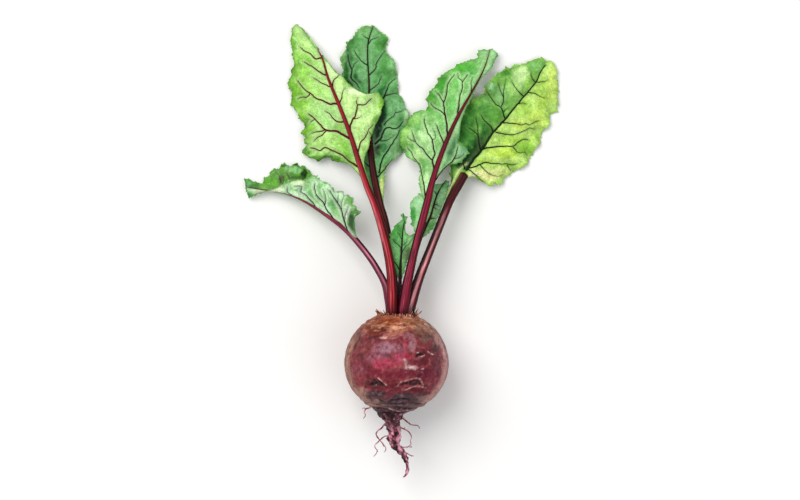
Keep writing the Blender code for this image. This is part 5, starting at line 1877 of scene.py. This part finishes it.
SMALL_RIGHT = Leaf(
    name="small_right",
    slot="leaf_deep",
    ground="A0D498",
    look=StalkLook("26080E", "4E121C", (Stripe(-0.2, 0.2, "8A4854", 0.0, 0.5, 0.7),), "1E2016", 0.6),
    side=(0, 0, -1),
    first=4,
    stalk=[
        (5.4, 33, 30.4, 2.0), (5.5, 36.5, 30.2, 2.0), (8.6, 56, 26.6, 1.9), (11.4, 69, 23.6, 1.8),
        (16.2, 84, 20.0, 1.4), (19.8, 92, 18.2, 0.9), (23.2, 99, 16.6, 0.7), (25.6, 107.5, 14.4, 0.55),
        (28.6, 115.4, 11.8, 0.4), (33.6, 123.6, 8.2, 0.2),
    ],
    left=[
        (14.2, 85.2, 18.8), (11.6, 90, 17.5), (10, 96, 16.4), (9, 104, 15.2), (10.6, 109.8, 14.2),
        (14.4, 113.6, 13.2), (20, 115.5, 12.4), (25, 120, 11), (29.4, 120.9, 9.8), (31.6, 121.2, 9.2),
        (33.6, 123.6, 8),
    ],
    right=[
        (17.8, 84, 18.8), (21.5, 87.2, 17), (25.8, 92.3, 15.4), (28.6, 99, 13.8), (31.4, 105, 12.4),
        (33.8, 111.5, 11), (35.2, 117, 9.8), (36.3, 120.8, 8.6), (33.6, 123.6, 8),
    ],
    veins=[
        Vein([(27.6, 113.4), (25.2, 116.4)], 0.4),
        Vein([(24.8, 105.4), (27, 106.8), (30, 105.4), (33, 107)], 0.45),
        Vein([(22.6, 97), (27, 97.2), (29, 99)], 0.4),
        Vein([(24.8, 105.4), (27.4, 103.6), (30, 103)], 0.3),
    ],
    washes=[
        Wash(11, 101, 2.6, 7, "40A03A", 0.85), Wash(15, 108, 3.4, 5, "AEE0AE", 0.85),
        Wash(30, 112, 4, 5, "A8DAA8", 0.8), Wash(24, 92, 6, 3.6, "58B04A", 0.85),
        Wash(33, 120, 3, 3, "78B878", 0.7), Wash(26, 102, 3.4, 3, "A2D69A", 0.75),
        Wash(27, 109, 1.6, 6, "6AA470", 0.6), Wash(27, 119, 3, 2, "7CB68A", 0.7),
    ],
    edge="7CB874",
    vein_colour="1E1A14",
    vein_end="2E4A26",
    vein_highlight="A8D8A4",
    ruffle=0.8,
    arch=0.9,
    pucker=0.5,
)

LEAVES = [TALL_LEFT, BACK_CENTRE, DROOPING_LEFT, UPRIGHT_RIGHT, BROAD_RIGHT, YOUNG_CENTRE, SMALL_RIGHT]


# ---------------------------------------------------------------- the studio


@dataclass
class Studio:
    """The pale floor, the soft lights and the camera, which looks straight down."""

    view_centre: tuple[float, float] = (2.4, 75.8)
    view_width: float = 544.0
    focus_height: float = 14.0
    lens: float = 300.0
    sensor: float = 36.0
    floor_size: float = 8.0
    aim: tuple[float, float, float] = (0, 0.06, 0.02)

    def floor(self) -> None:
        """Lays the floor with a softly raised rim far outside the view."""
        deselect()
        bpy.ops.mesh.primitive_grid_add(x_subdivisions=40, y_subdivisions=40, size=self.floor_size)
        piece = bpy.context.object
        piece.name = piece.data.name = "floor"
        points = points_of(piece)
        rim = np.maximum(np.hypot(points[:, 0], points[:, 1]) / 1000 - 3.0, 0)
        points[:, 2] = -0.02 + 180 * rim**2
        move(piece, points)
        bpy.ops.object.shade_smooth()
        piece.data.materials.append(PlasterFinish().build())

    def light(
        self, name: str, place: tuple[float, float, float], size: float, watts: float, tint: str
    ) -> None:
        """Adds a square soft light that points at the middle of the object.

        Args:
            name: the light's name.
            place: where it hangs, in metres.
            size: its side in metres.
            watts: its power.
            tint: its colour.
        """
        deselect()
        bpy.ops.object.light_add(type="AREA", location=place)
        lamp = bpy.context.object
        lamp.name = lamp.data.name = name
        lamp.data.size = size
        lamp.data.energy = watts
        lamp.data.color = tuple(linear(tint))
        aim = Vector(self.aim) - Vector(place)
        lamp.rotation_euler = aim.to_track_quat("-Z", "Y").to_euler()

    def camera(self) -> None:
        """Adds the camera over the object, with +Y up in its picture."""
        away = self.view_width * self.lens / self.sensor
        deselect()
        bpy.ops.object.camera_add(
            location=(self.view_centre[0] * MM, self.view_centre[1] * MM, (self.focus_height + away) * MM),
            rotation=(0, 0, 0),
        )
        view = bpy.context.object
        view.name = view.data.name = "camera"
        view.data.lens = self.lens
        view.data.clip_start, view.data.clip_end = 0.05, 30
        bpy.context.scene.camera = view

    def build(self) -> None:
        """Sets the studio up."""
        self.floor()
        self.light("key_light", (-0.8, 0.9, 1.8), 1.5, 31, "FFFDFA")
        self.light("fill_light", (1.3, -0.5, 1.6), 1.8, 10, "FAFCFF")
        world = bpy.data.worlds.new("studio_world")
        world.use_nodes = True
        sky = world.node_tree.nodes["Background"]
        sky.inputs["Color"].default_value = (1, 1, 1, 1)
        sky.inputs["Strength"].default_value = 0.5
        bpy.context.scene.world = world
        bpy.context.scene.view_settings.view_transform = "Standard"
        self.camera()


def main() -> None:
    """Builds the beetroot and its studio, piece by piece."""
    logging.basicConfig(level=logging.INFO, format="%(name)s: %(message)s")
    Root().build()
    SideRoots().build()
    DryStubs().build()
    CrownScales().build()
    for leaf in LEAVES:
        leaf.build()
    Studio().build()


if __name__ == "__main__":
    main()
